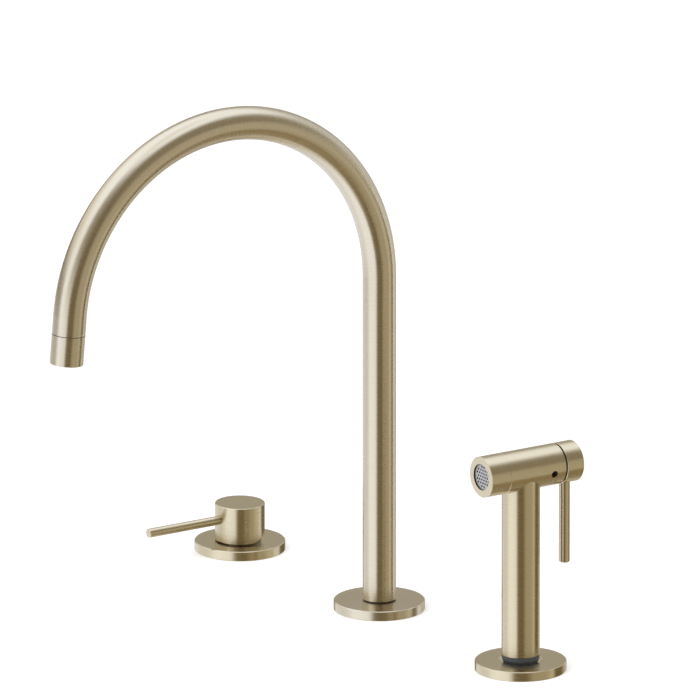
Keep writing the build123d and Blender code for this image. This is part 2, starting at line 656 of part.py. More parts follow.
# ---- mixer ----------------------------------------------------------------------------------
def valve_body():
    """Shank with the cartridge bore on top and three hose ports below."""
    skirt_bore = CARTRIDGE_RADIUS + DOME_NUT_SKIRT_WALL + 2 * SEATED_CLEARANCE
    body = shank_blank(SHANK_RADIUS) + rod(DOME_RADIUS, FLANGE_THICKNESS, MIXER_NECK_TOP)
    body -= rod(VALVE_BODY_BORE, CARTRIDGE_FLOOR, MIXER_NECK_TOP)
    body -= rod(skirt_bore, MIXER_NECK_TOP - DOME_NUT_SKIRT, MIXER_NECK_TOP)
    for x, y in polar_points(HOSE_PORT_PITCH, PORT_ANGLES):
        body -= Pos(x, y, 0) * rod(HOSE_PORT_RADIUS, -SHANK_LENGTH, HOSE_PORT_DEPTH - SHANK_LENGTH)
    for x, y in polar_points(CARTRIDGE_PORT_PITCH, PORT_ANGLES):
        body -= Pos(x, y, 0) * rod(CARTRIDGE_PORT_RADIUS, -SHANK_LENGTH, CARTRIDGE_FLOOR)
    return body


def dome_nut():
    """Nut that clamps the cartridge; its dome is centred on the tilt pivot, under the knob."""
    skirt_radius = CARTRIDGE_RADIUS + DOME_NUT_SKIRT_WALL + SEATED_CLEARANCE
    clamp_level = TILT_PIVOT + CARTRIDGE_TOP
    dome_top = TILT_PIVOT + DOME_RADIUS
    nut = rod(skirt_radius, MIXER_NECK_TOP - DOME_NUT_SKIRT, MIXER_NECK_TOP)
    nut += rod(DOME_RADIUS, MIXER_NECK_TOP, TILT_PIVOT)
    nut += Pos(0, 0, TILT_PIVOT) * Sphere(DOME_RADIUS) & rod(DOME_RADIUS + CUT_MARGIN, TILT_PIVOT, dome_top)
    nut -= rod(VALVE_BODY_BORE, MIXER_NECK_TOP - DOME_NUT_SKIRT, clamp_level)
    return nut - rod(CARTRIDGE_RADIUS - DOME_OPENING_INSET, clamp_level, dome_top)


def cartridge_housing():
    """Cartridge wall with the ledge that holds the rotor down and the rib that stops its turn."""
    housing = turned(
        (CARTRIDGE_BORE, HOUSING_BOTTOM),
        (CARTRIDGE_RADIUS, HOUSING_BOTTOM),
        (CARTRIDGE_RADIUS, TILT_PIVOT + CARTRIDGE_TOP),
        (CARTRIDGE_BORE - CARTRIDGE_LEDGE_WIDTH, TILT_PIVOT + CARTRIDGE_TOP),
        (CARTRIDGE_BORE - CARTRIDGE_LEDGE_WIDTH, TILT_PIVOT - CARTRIDGE_LEDGE),
        (CARTRIDGE_BORE, TILT_PIVOT - CARTRIDGE_LEDGE),
    )
    return housing + ring_sector(CARTRIDGE_BORE + CARTRIDGE_WALL / 2, CARTRIDGE_BORE - CARTRIDGE_LEDGE_WIDTH,
                                 ROTOR_FLANGE_BOTTOM, TILT_PIVOT - CARTRIDGE_LEDGE, STOP_HALF_ANGLE)


def cartridge_base():
    insert_radius = CARTRIDGE_BORE - SEATED_CLEARANCE
    base = rod(insert_radius, HOUSING_BOTTOM, FIXED_DISC_BOTTOM)
    base += rod(CARTRIDGE_RADIUS, CARTRIDGE_FLOOR, HOUSING_BOTTOM)
    for x, y in polar_points(CARTRIDGE_PORT_PITCH, PORT_ANGLES):
        base -= Pos(x, y, 0) * rod(CARTRIDGE_PORT_RADIUS, CARTRIDGE_FLOOR, FIXED_DISC_BOTTOM)
        base -= Pos(x, y, 0) * rod(CARTRIDGE_PORT_RADIUS + PORT_SEAL_WIDTH,
                                   CARTRIDGE_FLOOR, CARTRIDGE_FLOOR + PORT_SEAL_THICKNESS)
    return base


def port_seals():
    seals = [
        Pos(x, y, 0) * ring(CARTRIDGE_PORT_RADIUS + PORT_SEAL_WIDTH, CARTRIDGE_PORT_RADIUS,
                            CARTRIDGE_FLOOR, CARTRIDGE_FLOOR + PORT_SEAL_THICKNESS)
        for x, y in polar_points(CARTRIDGE_PORT_PITCH, PORT_ANGLES)
    ]
    return Compound(children=seals)


def fixed_disc():
    disc = rod(CARTRIDGE_BORE - SEATED_CLEARANCE, FIXED_DISC_BOTTOM, MOVING_DISC_BOTTOM)
    for x, y in polar_points(CARTRIDGE_PORT_PITCH, PORT_ANGLES):
        disc -= Pos(x, y, 0) * rod(CARTRIDGE_PORT_RADIUS, FIXED_DISC_BOTTOM, MOVING_DISC_BOTTOM)
    return disc


def moving_disc():
    disc = rod(CARRIER_RADIUS, MOVING_DISC_BOTTOM, CARRIER_BOTTOM)
    disc -= rod(CERAMIC_POCKET_RADIUS, MOVING_DISC_BOTTOM, MOVING_DISC_BOTTOM + CERAMIC_POCKET_DEPTH)
    return Pos(0, DISC_TRAVEL / 2, 0) * disc


def disc_carrier():
    """Plate that the ball slides; its key runs in the rotor's slot, so it turns with the rotor."""
    carrier = Pos(0, DISC_TRAVEL / 2, 0) * rod(CARRIER_RADIUS, CARRIER_BOTTOM, CARRIER_TOP)
    half_width = STEM_WIDTH / 2
    key_start = BALL_ARM_RADIUS + KEY_BEHIND_ARM
    carrier += block((-half_width, half_width), (key_start, key_start + KEY_LENGTH),
                     (CARRIER_BOTTOM, CARRIER_TOP + CARRIER_GAP + KEY_HEIGHT))
    return carrier - rod(BALL_RADIUS + SIDE_CLEARANCE, CARRIER_BOTTOM, CARRIER_TOP)


def stem_rotor():
    """Turns with the lever as far as the stop rib lets it, and holds the tilt pin."""
    top = TILT_PIVOT + ROTOR_TOP
    rotor = rod(ROTOR_RADIUS, ROTOR_FLANGE_BOTTOM, top)
    flange = rod(CARTRIDGE_BORE - SIDE_CLEARANCE, ROTOR_FLANGE_BOTTOM, TILT_PIVOT - CARTRIDGE_LEDGE)
    rotor += flange - ring_sector(CARTRIDGE_BORE, ROTOR_RADIUS, ROTOR_FLANGE_BOTTOM,
                                  TILT_PIVOT - CARTRIDGE_LEDGE, TURN_LIMIT + STOP_HALF_ANGLE + STOP_PLAY)
    half_width = STEM_WIDTH / 2 + STEM_SIDE_CLEARANCE
    half_depth = ROTOR_RADIUS - ROTOR_RIM
    rotor -= block((-half_width, half_width), (-half_depth, half_depth), (ROTOR_FLANGE_BOTTOM, top))
    return rotor - along((1, 0, 0), STEM_PIN_RADIUS + SEATED_CLEARANCE, -ROTOR_RADIUS, ROTOR_RADIUS,
                         (0, 0, TILT_PIVOT))


def stem_pin():
    half_length = ROTOR_RADIUS - SIDE_CLEARANCE
    return along((1, 0, 0), STEM_PIN_RADIUS, -half_length, half_length, (0, 0, TILT_PIVOT))


def lever_stem():
    """Square stem under the knob, pivoted on the pin, with a ball that drives the disc carrier."""
    half = STEM_WIDTH / 2
    block_bottom = TILT_PIVOT - STEM_BLOCK_DROP
    stem = block((-half, half), (-half, half), (block_bottom, TILT_PIVOT + STEM_TOP))
    stem += rod(BALL_ARM_RADIUS, TILT_PIVOT - BALL_ARM, block_bottom)
    stem += Pos(0, 0, TILT_PIVOT - BALL_ARM) * Sphere(BALL_RADIUS)
    return stem - along((1, 0, 0), STEM_PIN_RADIUS + RUNNING_CLEARANCE, -half, half, (0, 0, TILT_PIVOT))


def mixer_knob():
    """Cylinder over the dome, with the rear of its lower edge bevelled for the tilt."""
    knob = turned(
        (0, KNOB_BOTTOM),
        (KNOB_RADIUS, KNOB_BOTTOM),
        (KNOB_RADIUS, KNOB_TOP - KNOB_TOP_ROUND),
        (KNOB_RADIUS - KNOB_TOP_ROUND, KNOB_TOP),
        (0, KNOB_TOP),
    )
    knob -= rod(KNOB_BORE, KNOB_BOTTOM, TILT_PIVOT) + Pos(0, 0, TILT_PIVOT) * Sphere(KNOB_BORE)
    wedge = Box(4 * KNOB_RADIUS, 4 * KNOB_RADIUS, KNOB_HEIGHT, align=(Align.CENTER, Align.MIN, Align.MAX))
    knob -= Pos(0, 0, KNOB_BOTTOM) * Rot(KNOB_BEVEL_ANGLE, 0, 0) * wedge
    half = STEM_WIDTH / 2 + SEATED_CLEARANCE
    stem_end = TILT_PIVOT + STEM_TOP + STEM_SOCKET_DEPTH
    knob -= block((-half, half), (-half, half), (TILT_PIVOT, stem_end))
    outside = KNOB_RADIUS + CUT_MARGIN
    lever_centre = (0, 0, LEVER_HEIGHT)
    screw_centre = (0, 0, KNOB_SCREW_HEIGHT)
    knob -= along((0, -1, 0), LEVER_RADIUS + SEATED_CLEARANCE, LEVER_ROOT, outside, lever_centre)
    return knob - along((0, 1, 0), GRUB_RADIUS + SEATED_CLEARANCE, 0, outside, screw_centre)


def mixer_lever():
    lever = turned(
        (0, LEVER_ROOT),
        (LEVER_RADIUS, LEVER_ROOT),
        (LEVER_RADIUS, LEVER_TIP - LEVER_TIP_CHAMFER),
        (LEVER_RADIUS - LEVER_TIP_CHAMFER, LEVER_TIP),
        (0, LEVER_TIP),
    )
    return Plane(origin=(0, 0, LEVER_HEIGHT), z_dir=(0, -1, 0)) * lever


def knob_screw():
    tip = STEM_WIDTH / 2 + SEATED_CLEARANCE
    return Plane(origin=(0, 0, KNOB_SCREW_HEIGHT), z_dir=(0, 1, 0)) * grub_screw(tip, KNOB_SCREW_LENGTH)


def mixer_unit():
    pieces = {
        "mixer_base_disc": base_disc(DOME_RADIUS + SEATED_CLEARANCE, SHANK_RADIUS + FLANGE_WIDTH),
        "mixer_valve_body": valve_body(),
        "mixer_dome_nut": dome_nut(),
        "cartridge_housing": cartridge_housing(),
        "cartridge_base": cartridge_base(),
        "cartridge_port_seals": port_seals(),
        "ceramic_fixed_disc": fixed_disc(),
        "ceramic_moving_disc": moving_disc(),
        "disc_carrier": disc_carrier(),
        "stem_rotor": stem_rotor(),
        "stem_pin": stem_pin(),
        "lever_stem": lever_stem(),
        "mixer_knob": mixer_knob(),
        "mixer_lever": mixer_lever(),
        "mixer_knob_screw": knob_screw(),
    }
    pieces.update(deck_fixing("mixer", SHANK_RADIUS))
    return pieces


# ---- side spray -----------------------------------------------------------------------------
def spray_base_disc():
    flange_radius = SOCKET_SHANK_RADIUS + FLANGE_WIDTH
    disc = base_disc(LINER_BORE, flange_radius)
    return disc - turned(
        (0, DISC_TOP - SOCKET_MOUTH_DEPTH),
        (LINER_BORE, DISC_TOP - SOCKET_MOUTH_DEPTH),
        (LINER_BORE + SOCKET_MOUTH_WIDTH, DISC_TOP),
        (0, DISC_TOP),
    )


def socket_shank():
    shank = shank_blank(SOCKET_SHANK_RADIUS)
    shank -= rod(SOCKET_BORE, LINER_BOTTOM, FLANGE_THICKNESS)
    return shank - rod(SOCKET_BORE - SOCKET_THROAT_INSET, -SHANK_LENGTH, LINER_BOTTOM)


def socket_liner():
    throat = LINER_BORE - LINER_LEDGE_WIDTH
    return turned(
        (throat, LINER_BOTTOM),
        (LINER_RADIUS, LINER_BOTTOM),
        (LINER_RADIUS, FLANGE_THICKNESS),
        (LINER_BORE, FLANGE_THICKNESS),
        (LINER_BORE, -SLEEVE_DEPTH),
        (throat, -SLEEVE_DEPTH),
    )


def guide_sleeve():
    """Grey plastic plug of the handset: it sits in the socket and carries the hose swivel."""
    chamber = NIPPLE_FLANGE_RADIUS + SIDE_CLEARANCE
    return turned(
        (NIPPLE_BORE_IN_SLEEVE, -SLEEVE_DEPTH),
        (SLEEVE_NECK_RADIUS - SLEEVE_TIP_INSET, -SLEEVE_DEPTH),
        (SLEEVE_NECK_RADIUS, SLEEVE_TAPER_BOTTOM),
        (SLEEVE_RADIUS, SLEEVE_COLLAR_BOTTOM),
        (SLEEVE_RADIUS, HANDLE_BOTTOM),
        (HANDLE_BORE - SEATED_CLEARANCE, HANDLE_BOTTOM),
        (HANDLE_BORE - SEATED_CLEARANCE, HANDLE_BOTTOM + SLEEVE_SPIGOT_LENGTH),
        (chamber, HANDLE_BOTTOM + SLEEVE_SPIGOT_LENGTH),
        (chamber, NIPPLE_LEDGE),
        (NIPPLE_BORE_IN_SLEEVE, NIPPLE_LEDGE),
    )


def nipple_o_ring_heights():
    centre = (NIPPLE_LEDGE + NIPPLE_JOURNAL_BOTTOM) / 2
    return [centre - NIPPLE_O_RING_PITCH / 2, centre + NIPPLE_O_RING_PITCH / 2]


def hose_nipple():
    """Swivelling hose inlet of the handset, with a male hose thread at its lower end."""
    bottom = NIPPLE_NECK_BOTTOM - NIPPLE_THREAD_LENGTH
    nipple = turned(
        (0, bottom),
        (NIPPLE_THREAD_RADIUS - HOSE_TAIL_CHAMFER, bottom),
        (NIPPLE_THREAD_RADIUS, bottom + HOSE_TAIL_CHAMFER),
        (NIPPLE_THREAD_RADIUS, NIPPLE_NECK_BOTTOM),
        (NIPPLE_NECK_RADIUS, NIPPLE_NECK_BOTTOM),
        (NIPPLE_NECK_RADIUS, NIPPLE_JOURNAL_BOTTOM),
        (NIPPLE_JOURNAL_RADIUS, NIPPLE_JOURNAL_BOTTOM),
        (NIPPLE_JOURNAL_RADIUS, NIPPLE_LEDGE),
        (NIPPLE_FLANGE_RADIUS, NIPPLE_LEDGE),
        (NIPPLE_FLANGE_RADIUS, NIPPLE_TOP),
        (0, NIPPLE_TOP),
    )
    for height in nipple_o_ring_heights():
        nipple -= o_ring_groove(NIPPLE_BORE_IN_SLEEVE, NIPPLE_JOURNAL_RADIUS, height)
    nipple -= rod(NIPPLE_BORE, bottom, NIPPLE_TOP)
    return nipple - rod(CHECK_VALVE_RADIUS + SEATED_CLEARANCE, NIPPLE_TOP - CHECK_VALVE_LENGTH, NIPPLE_TOP)


def check_valve():
    return ring(CHECK_VALVE_RADIUS, CHECK_VALVE_BORE, NIPPLE_TOP - CHECK_VALVE_LENGTH, NIPPLE_TOP)


def head_screw_plane():
    dip = radians(HEAD_SCREW_DIP)
    return Plane(origin=(0, HEAD_SCREW_BEHIND_AXIS, HEAD_HEIGHT), z_dir=(cos(dip), 0, -sin(dip)))


def handle_body():
    """Handle and head in one piece, blended where they meet."""
    handle = turned(
        (0, HANDLE_BOTTOM),
        (HANDLE_RADIUS - HANDLE_EDGE, HANDLE_BOTTOM),
        (HANDLE_RADIUS, HANDLE_BOTTOM + HANDLE_EDGE),
        (HANDLE_RADIUS, HEAD_HEIGHT),
        (0, HEAD_HEIGHT),
    )
    head = turned(
        (0, -HEAD_FRONT),
        (HEAD_RADIUS - NOZZLE_SEAM, -HEAD_FRONT),
        (HEAD_RADIUS, NOZZLE_SEAM - HEAD_FRONT),
        (HEAD_RADIUS, HEAD_REAR - HEAD_EDGE),
        (HEAD_RADIUS - HEAD_EDGE, HEAD_REAR),
        (0, HEAD_REAR),
    )
    body = handle + HEAD_PLANE * head
    junction = body.edges().filter_by(GeomType.BSPLINE)
    body = fillet(junction, TEE_FILLET)
    body -= rod(HANDLE_BORE, HANDLE_BOTTOM, HEAD_HEIGHT)
    body -= HEAD_PLANE * rod(HEAD_BORE, -HEAD_FRONT, HEAD_REAR)
    screw_hole = rod(HEAD_SCREW_RADIUS + SEATED_CLEARANCE, HEAD_BORE - CUT_MARGIN, HEAD_RADIUS + CUT_MARGIN)
    return body - head_screw_plane() * screw_hole


def nozzle_collar():
    spigot_end = NOZZLE_SPIGOT_LENGTH - HEAD_FRONT
    lip_bore = NOZZLE_BORE - NOZZLE_LIP_WIDTH
    return HEAD_PLANE * turned(
        (lip_bore, NOZZLE_FACE),
        (HEAD_RADIUS - NOZZLE_FACE_ROUND, NOZZLE_FACE),
        (HEAD_RADIUS, NOZZLE_FACE + NOZZLE_FACE_ROUND),
        (HEAD_RADIUS, -HEAD_FRONT - NOZZLE_SEAM),
        (HEAD_RADIUS - NOZZLE_SEAM, -HEAD_FRONT),
        (HEAD_BORE - SEATED_CLEARANCE, -HEAD_FRONT),
        (HEAD_BORE - SEATED_CLEARANCE, spigot_end),
        (NOZZLE_BORE, spigot_end),
        (NOZZLE_BORE, NOZZLE_FACE + NOZZLE_LIP),
        (lip_bore, NOZZLE_FACE + NOZZLE_LIP),
    )


def face_insert():
    """Perforated spray face with a skirt that reaches back to the valve."""
    radius = NOZZLE_BORE - SEATED_CLEARANCE
    bore = radius - FACE_SKIRT_WALL
    front = NOZZLE_FACE + NOZZLE_LIP
    cup = turned(
        (0, front),
        (radius, front),
        (radius, -VALVE_FRONT - FACE_SEAL_THICKNESS),
        (bore, -VALVE_FRONT - FACE_SEAL_THICKNESS),
        (bore, front + FACE_THICKNESS),
        (0, front + FACE_THICKNESS),
    )
    holes = Sketch()
    for point in honeycomb_points(FACE_HOLE_PITCH, bore - FACE_RIM - FACE_HOLE_RADIUS):
        holes += Pos(*point) * Circle(FACE_HOLE_RADIUS)
    return HEAD_PLANE * (cup - Pos(0, 0, front) * extrude(holes, FACE_THICKNESS))


def face_seal():
    radius = NOZZLE_BORE - SEATED_CLEARANCE
    front = -VALVE_FRONT - FACE_SEAL_THICKNESS
    return HEAD_PLANE * ring(radius, radius - FACE_SKIRT_WALL, front, -VALVE_FRONT)


def spray_valve_body():
    """Valve cartridge in the head; its rear tongue holds the pivot of the trigger cap."""
    rear = HEAD_REAR - VALVE_REAR_INSET
    body = turned(
        (VALVE_SEAT_RADIUS, VALVE_MOUTH_DEPTH - VALVE_FRONT),
        (VALVE_MOUTH_RADIUS, -VALVE_FRONT),
        (VALVE_RADIUS, -VALVE_FRONT),
        (VALVE_RADIUS, rear),
        (VALVE_STEM_RADIUS + RUNNING_CLEARANCE, rear),
        (VALVE_STEM_RADIUS + RUNNING_CLEARANCE, VALVE_CHAMBER_REAR),
        (VALVE_CHAMBER_RADIUS, VALVE_CHAMBER_REAR),
        (VALVE_CHAMBER_RADIUS, -VALVE_SEAT_FACE),
        (VALVE_SEAT_RADIUS, -VALVE_SEAT_FACE),
    )
    body = HEAD_PLANE * body
    body -= along((0, 0, -1), VALVE_INLET_RADIUS, VALVE_STEM_RADIUS, HEAD_RADIUS,
                  (0, (VALVE_CHAMBER_REAR - VALVE_SEAT_FACE) / 2, HEAD_HEIGHT))
    half = TONGUE_WIDTH / 2
    heights = (TRIGGER_PIVOT_Z - TONGUE_RADIUS, TRIGGER_PIVOT_Z + TONGUE_RADIUS)
    body += block((-half, half), (VALVE_CHAMBER_REAR, TRIGGER_PIVOT_Y), heights)
    pivot = (0, TRIGGER_PIVOT_Y, TRIGGER_PIVOT_Z)
    body += along((1, 0, 0), TONGUE_RADIUS, -half, half, pivot)
    body -= along((1, 0, 0), TRIGGER_PIN_RADIUS + RUNNING_CLEARANCE, -half, half, pivot)
    return body - head_screw_plane() * rod(HEAD_SCREW_RADIUS + SEATED_CLEARANCE,
                                           HEAD_RADIUS - HEAD_SCREW_RECESS - HEAD_SCREW_LENGTH, HEAD_RADIUS)


def head_screw():
    tip = HEAD_RADIUS - HEAD_SCREW_RECESS - HEAD_SCREW_LENGTH
    return head_screw_plane() * grub_screw(tip, HEAD_SCREW_LENGTH, HEAD_SCREW_RADIUS)


def valve_stem():
    """Poppet stem: pulled to the rear by the trigger cap, it opens the valve."""
    seal_rear = VALVE_SEAL_THICKNESS - VALVE_SEAT_FACE
    flange_rear = seal_rear + VALVE_FLANGE_THICKNESS
    button_rear = BUTTON_FRONT + VALVE_BUTTON_LENGTH
    return HEAD_PLANE * turned(
        (0, -VALVE_SEAT_FACE - VALVE_STEM_NOSE),
        (VALVE_STEM_RADIUS, -VALVE_SEAT_FACE - VALVE_STEM_NOSE),
        (VALVE_STEM_RADIUS, seal_rear),
        (VALVE_SEAL_RADIUS, seal_rear),
        (VALVE_SEAL_RADIUS, flange_rear),
        (VALVE_STEM_RADIUS, flange_rear),
        (VALVE_STEM_RADIUS, BUTTON_FRONT),
        (VALVE_BUTTON_RADIUS, BUTTON_FRONT),
        (VALVE_BUTTON_RADIUS, button_rear),
        (0, button_rear),
    )


def valve_seal():
    return HEAD_PLANE * ring(VALVE_SEAL_RADIUS, VALVE_STEM_RADIUS + SEATED_CLEARANCE,
                             -VALVE_SEAT_FACE, VALVE_SEAL_THICKNESS - VALVE_SEAT_FACE)


def valve_spring():
    """Compression spring between the stem flange and the rear wall of the valve chamber."""
    front = VALVE_SEAL_THICKNESS - VALVE_SEAT_FACE + VALVE_FLANGE_THICKNESS + SPRING_WIRE_RADIUS
    height = VALVE_CHAMBER_REAR - SPRING_WIRE_RADIUS - front - 2 * SEATED_CLEARANCE
    coil = Helix(height / SPRING_TURNS, height, SPRING_RADIUS)
    section = Plane(origin=coil @ 0, z_dir=coil % 0) * Circle(SPRING_WIRE_RADIUS)
    wire = sweep(section, path=coil, is_frenet=True)
    return HEAD_PLANE * Pos(0, 0, front + SEATED_CLEARANCE) * wire


def trigger_cap():
    """Rear cap of the head: rocks on the tongue and pulls the stem with a slotted claw."""
    shell = HEAD_PLANE * turned(
        (CAP_BORE, CAP_FRONT),
        (HEAD_RADIUS - CAP_EDGE, CAP_FRONT),
        (HEAD_RADIUS, CAP_FRONT + CAP_EDGE),
        (HEAD_RADIUS, CAP_REAR - CAP_REAR_ROUND),
        (HEAD_RADIUS - CAP_REAR_ROUND, CAP_REAR),
        (0, CAP_REAR),
        (0, CAP_REAR - CAP_WALL),
        (CAP_BORE, CAP_REAR - CAP_WALL),
    )
    inside = HEAD_PLANE * rod(CAP_BORE + CAP_WALL / 2, CAP_FRONT, CAP_REAR)
    claw_reach = CAP_BORE + CUT_MARGIN
    claw = block((-claw_reach, claw_reach), (CLAW_FRONT, CLAW_FRONT + CLAW_THICKNESS),
                 (HEAD_HEIGHT - CLAW_BOTTOM, HEAD_HEIGHT + CLAW_TOP))
    slot = VALVE_STEM_RADIUS + FREE_CLEARANCE
    claw -= block((-slot, slot), (CAP_FRONT, CAP_REAR), (HEAD_HEIGHT - CLAW_BOTTOM, HEAD_HEIGHT + slot))
    cap = shell + (claw & inside)
    ear_start = TONGUE_WIDTH / 2 + SIDE_CLEARANCE
    ear_end = ear_start + TRIGGER_EAR_WIDTH
    heights = (TRIGGER_PIVOT_Z - TRIGGER_EAR_RADIUS, TRIGGER_PIVOT_Z + TRIGGER_EAR_RADIUS)
    for sides in ((-ear_end, -ear_start), (ear_start, ear_end)):
        cap += block(sides, (CAP_FRONT, CAP_REAR - CAP_WALL), heights)
    cap -= along((1, 0, 0), TRIGGER_PIN_RADIUS + SEATED_CLEARANCE, -ear_end, ear_end,
                 (0, TRIGGER_PIVOT_Y, TRIGGER_PIVOT_Z))
    seat = HEAD_HEIGHT - HEAD_RADIUS + TRIGGER_SEAT_DEPTH
    down = Pos(0, TRIGGER_LEVER_Y, 0)
    cap -= down * rod(TRIGGER_LEVER_RADIUS + SEATED_CLEARANCE, seat - 2 * TRIGGER_SEAT_DEPTH, seat)
    return cap - down * rod(TRIGGER_STUD_RADIUS + SEATED_CLEARANCE, seat, seat + CAP_WALL)


def trigger_lever():
    seat = HEAD_HEIGHT - HEAD_RADIUS + TRIGGER_SEAT_DEPTH
    stud_top = HEAD_HEIGHT - CAP_BORE
    return Pos(0, TRIGGER_LEVER_Y, 0) * turned(
        (0, TRIGGER_LEVER_END),
        (TRIGGER_LEVER_RADIUS - TRIGGER_LEVER_CHAMFER, TRIGGER_LEVER_END),
        (TRIGGER_LEVER_RADIUS, TRIGGER_LEVER_END + TRIGGER_LEVER_CHAMFER),
        (TRIGGER_LEVER_RADIUS, seat),
        (TRIGGER_STUD_RADIUS, seat),
        (TRIGGER_STUD_RADIUS, stud_top),
        (0, stud_top),
    )


def trigger_pin():
    half_length = TONGUE_WIDTH / 2 + SIDE_CLEARANCE + TRIGGER_EAR_WIDTH
    pivot = (0, TRIGGER_PIVOT_Y, TRIGGER_PIVOT_Z)
    return along((1, 0, 0), TRIGGER_PIN_RADIUS, -half_length, half_length, pivot)


def spray_unit():
    nipple_rings = [o_ring(NIPPLE_BORE_IN_SLEEVE, height) for height in nipple_o_ring_heights()]
    pieces = {
        "spray_base_disc": spray_base_disc(),
        "spray_socket_shank": socket_shank(),
        "spray_socket_liner": socket_liner(),
        "spray_guide_sleeve": guide_sleeve(),
        "hose_swivel_nipple": hose_nipple(),
        "hose_swivel_o_rings": Compound(children=nipple_rings),
        "check_valve": check_valve(),
        "spray_handle_body": handle_body(),
        "nozzle_collar": nozzle_collar(),
        "spray_face_insert": face_insert(),
        "spray_face_seal": face_seal(),
        "spray_valve_body": spray_valve_body(),
        "spray_valve_stem": valve_stem(),
        "spray_valve_seal": valve_seal(),
        "spray_valve_spring": valve_spring(),
        "spray_head_screw": head_screw(),
        "trigger_cap": trigger_cap(),
        "trigger_lever": trigger_lever(),
        "trigger_pin": trigger_pin(),
    }
    pieces.update(deck_fixing("spray", SOCKET_SHANK_RADIUS))
    return pieces


# ---- assembly -------------------------------------------------------------------------------
os.makedirs("parts", exist_ok=True)
units = [(-UNIT_SPACING, mixer_unit()), (0.0, spout_unit()), (UNIT_SPACING, spray_unit())]
for offset, pieces in units:
    for name, shape in pieces.items():
        export_step(Pos(offset, 0, 0) * shape, "parts/" + name + ".step")
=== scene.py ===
import bpy
import json
from itertools import count
from math import cos, pi, radians, sin
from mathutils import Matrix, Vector


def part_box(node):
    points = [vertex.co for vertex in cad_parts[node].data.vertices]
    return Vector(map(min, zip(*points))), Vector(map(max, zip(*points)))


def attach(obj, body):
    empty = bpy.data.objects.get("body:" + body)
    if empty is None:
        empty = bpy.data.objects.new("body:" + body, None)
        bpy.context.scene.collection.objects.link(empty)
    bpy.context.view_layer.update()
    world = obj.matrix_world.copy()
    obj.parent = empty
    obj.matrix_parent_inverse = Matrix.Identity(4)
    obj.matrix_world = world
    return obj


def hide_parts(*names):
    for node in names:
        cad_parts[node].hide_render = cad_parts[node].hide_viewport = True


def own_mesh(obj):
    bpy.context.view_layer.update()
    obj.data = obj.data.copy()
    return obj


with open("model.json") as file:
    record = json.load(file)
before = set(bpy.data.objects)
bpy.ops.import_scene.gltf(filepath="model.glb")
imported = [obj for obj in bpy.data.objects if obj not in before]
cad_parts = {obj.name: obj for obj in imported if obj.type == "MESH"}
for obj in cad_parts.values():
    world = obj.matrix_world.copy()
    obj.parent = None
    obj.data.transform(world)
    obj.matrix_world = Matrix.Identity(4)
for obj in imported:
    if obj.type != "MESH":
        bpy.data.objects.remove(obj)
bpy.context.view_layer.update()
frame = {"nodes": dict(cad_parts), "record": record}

# ---- places, read from the frame (metres) ---------------------------------------------------
MOUNTS = {mount["name"]: Vector(mount["pos_m"]) for mount in frame["record"]["mounts"]}
MIXER = MOUNTS["mixer_deck_face"]
SPOUT = MOUNTS["spout_deck_face"]
SPRAY = MOUNTS["spray_deck_face"]
RIGHT = Vector((1, 0, 0))
BACK = Vector((0, 1, 0))
UP = Vector((0, 0, 1))
ARC_START = 0.2276          # height where the spout starts to bend
ARC_RADIUS = 0.1212
ARC_SWEEP = radians(175)
OUTLET_DIRECTION = Vector((0, -sin(pi - ARC_SWEEP), -cos(pi - ARC_SWEEP)))
OUTLET_SEAM = Vector((0, -0.2430, 0.2261))      # middle of the seam of the outlet collar
HEAD_RADIUS = 0.0135        # spray head
HEAD_MARGIN = 0.0001


def middle(node):
    low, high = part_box(node)
    return (low + high) / 2


HEAD_CENTRE = middle("nozzle_collar")

# ---- camera ---------------------------------------------------------------------------------
AZIMUTH = radians(56.42)
ELEVATION = radians(16.07)
DISTANCE = 20.0             # so far away that the view is nearly parallel
FRAME_WIDTH = 0.4589        # width of the picture at the target
TARGET_RIGHT = -0.01927     # target, to the right of the origin in the picture
TARGET_HEIGHT = 0.1767
SENSOR_WIDTH = 36.0         # millimetres

picture_right = Vector((cos(AZIMUTH), sin(AZIMUTH), 0))
towards_camera = Vector((
    sin(AZIMUTH) * cos(ELEVATION), -cos(AZIMUTH) * cos(ELEVATION), sin(ELEVATION)))
target = picture_right * TARGET_RIGHT + UP * TARGET_HEIGHT

camera_data = bpy.data.cameras.new("camera")
camera_data.sensor_width = SENSOR_WIDTH
camera_data.lens = SENSOR_WIDTH * DISTANCE / FRAME_WIDTH
camera_data.clip_end = 3 * DISTANCE
camera = bpy.data.objects.new("camera", camera_data)
camera.location = target + towards_camera * DISTANCE
camera.rotation_euler = towards_camera.to_track_quat("Z", "Y").to_euler()
bpy.context.scene.collection.objects.link(camera)
bpy.context.scene.camera = camera
bpy.context.scene.view_settings.view_transform = "Standard"


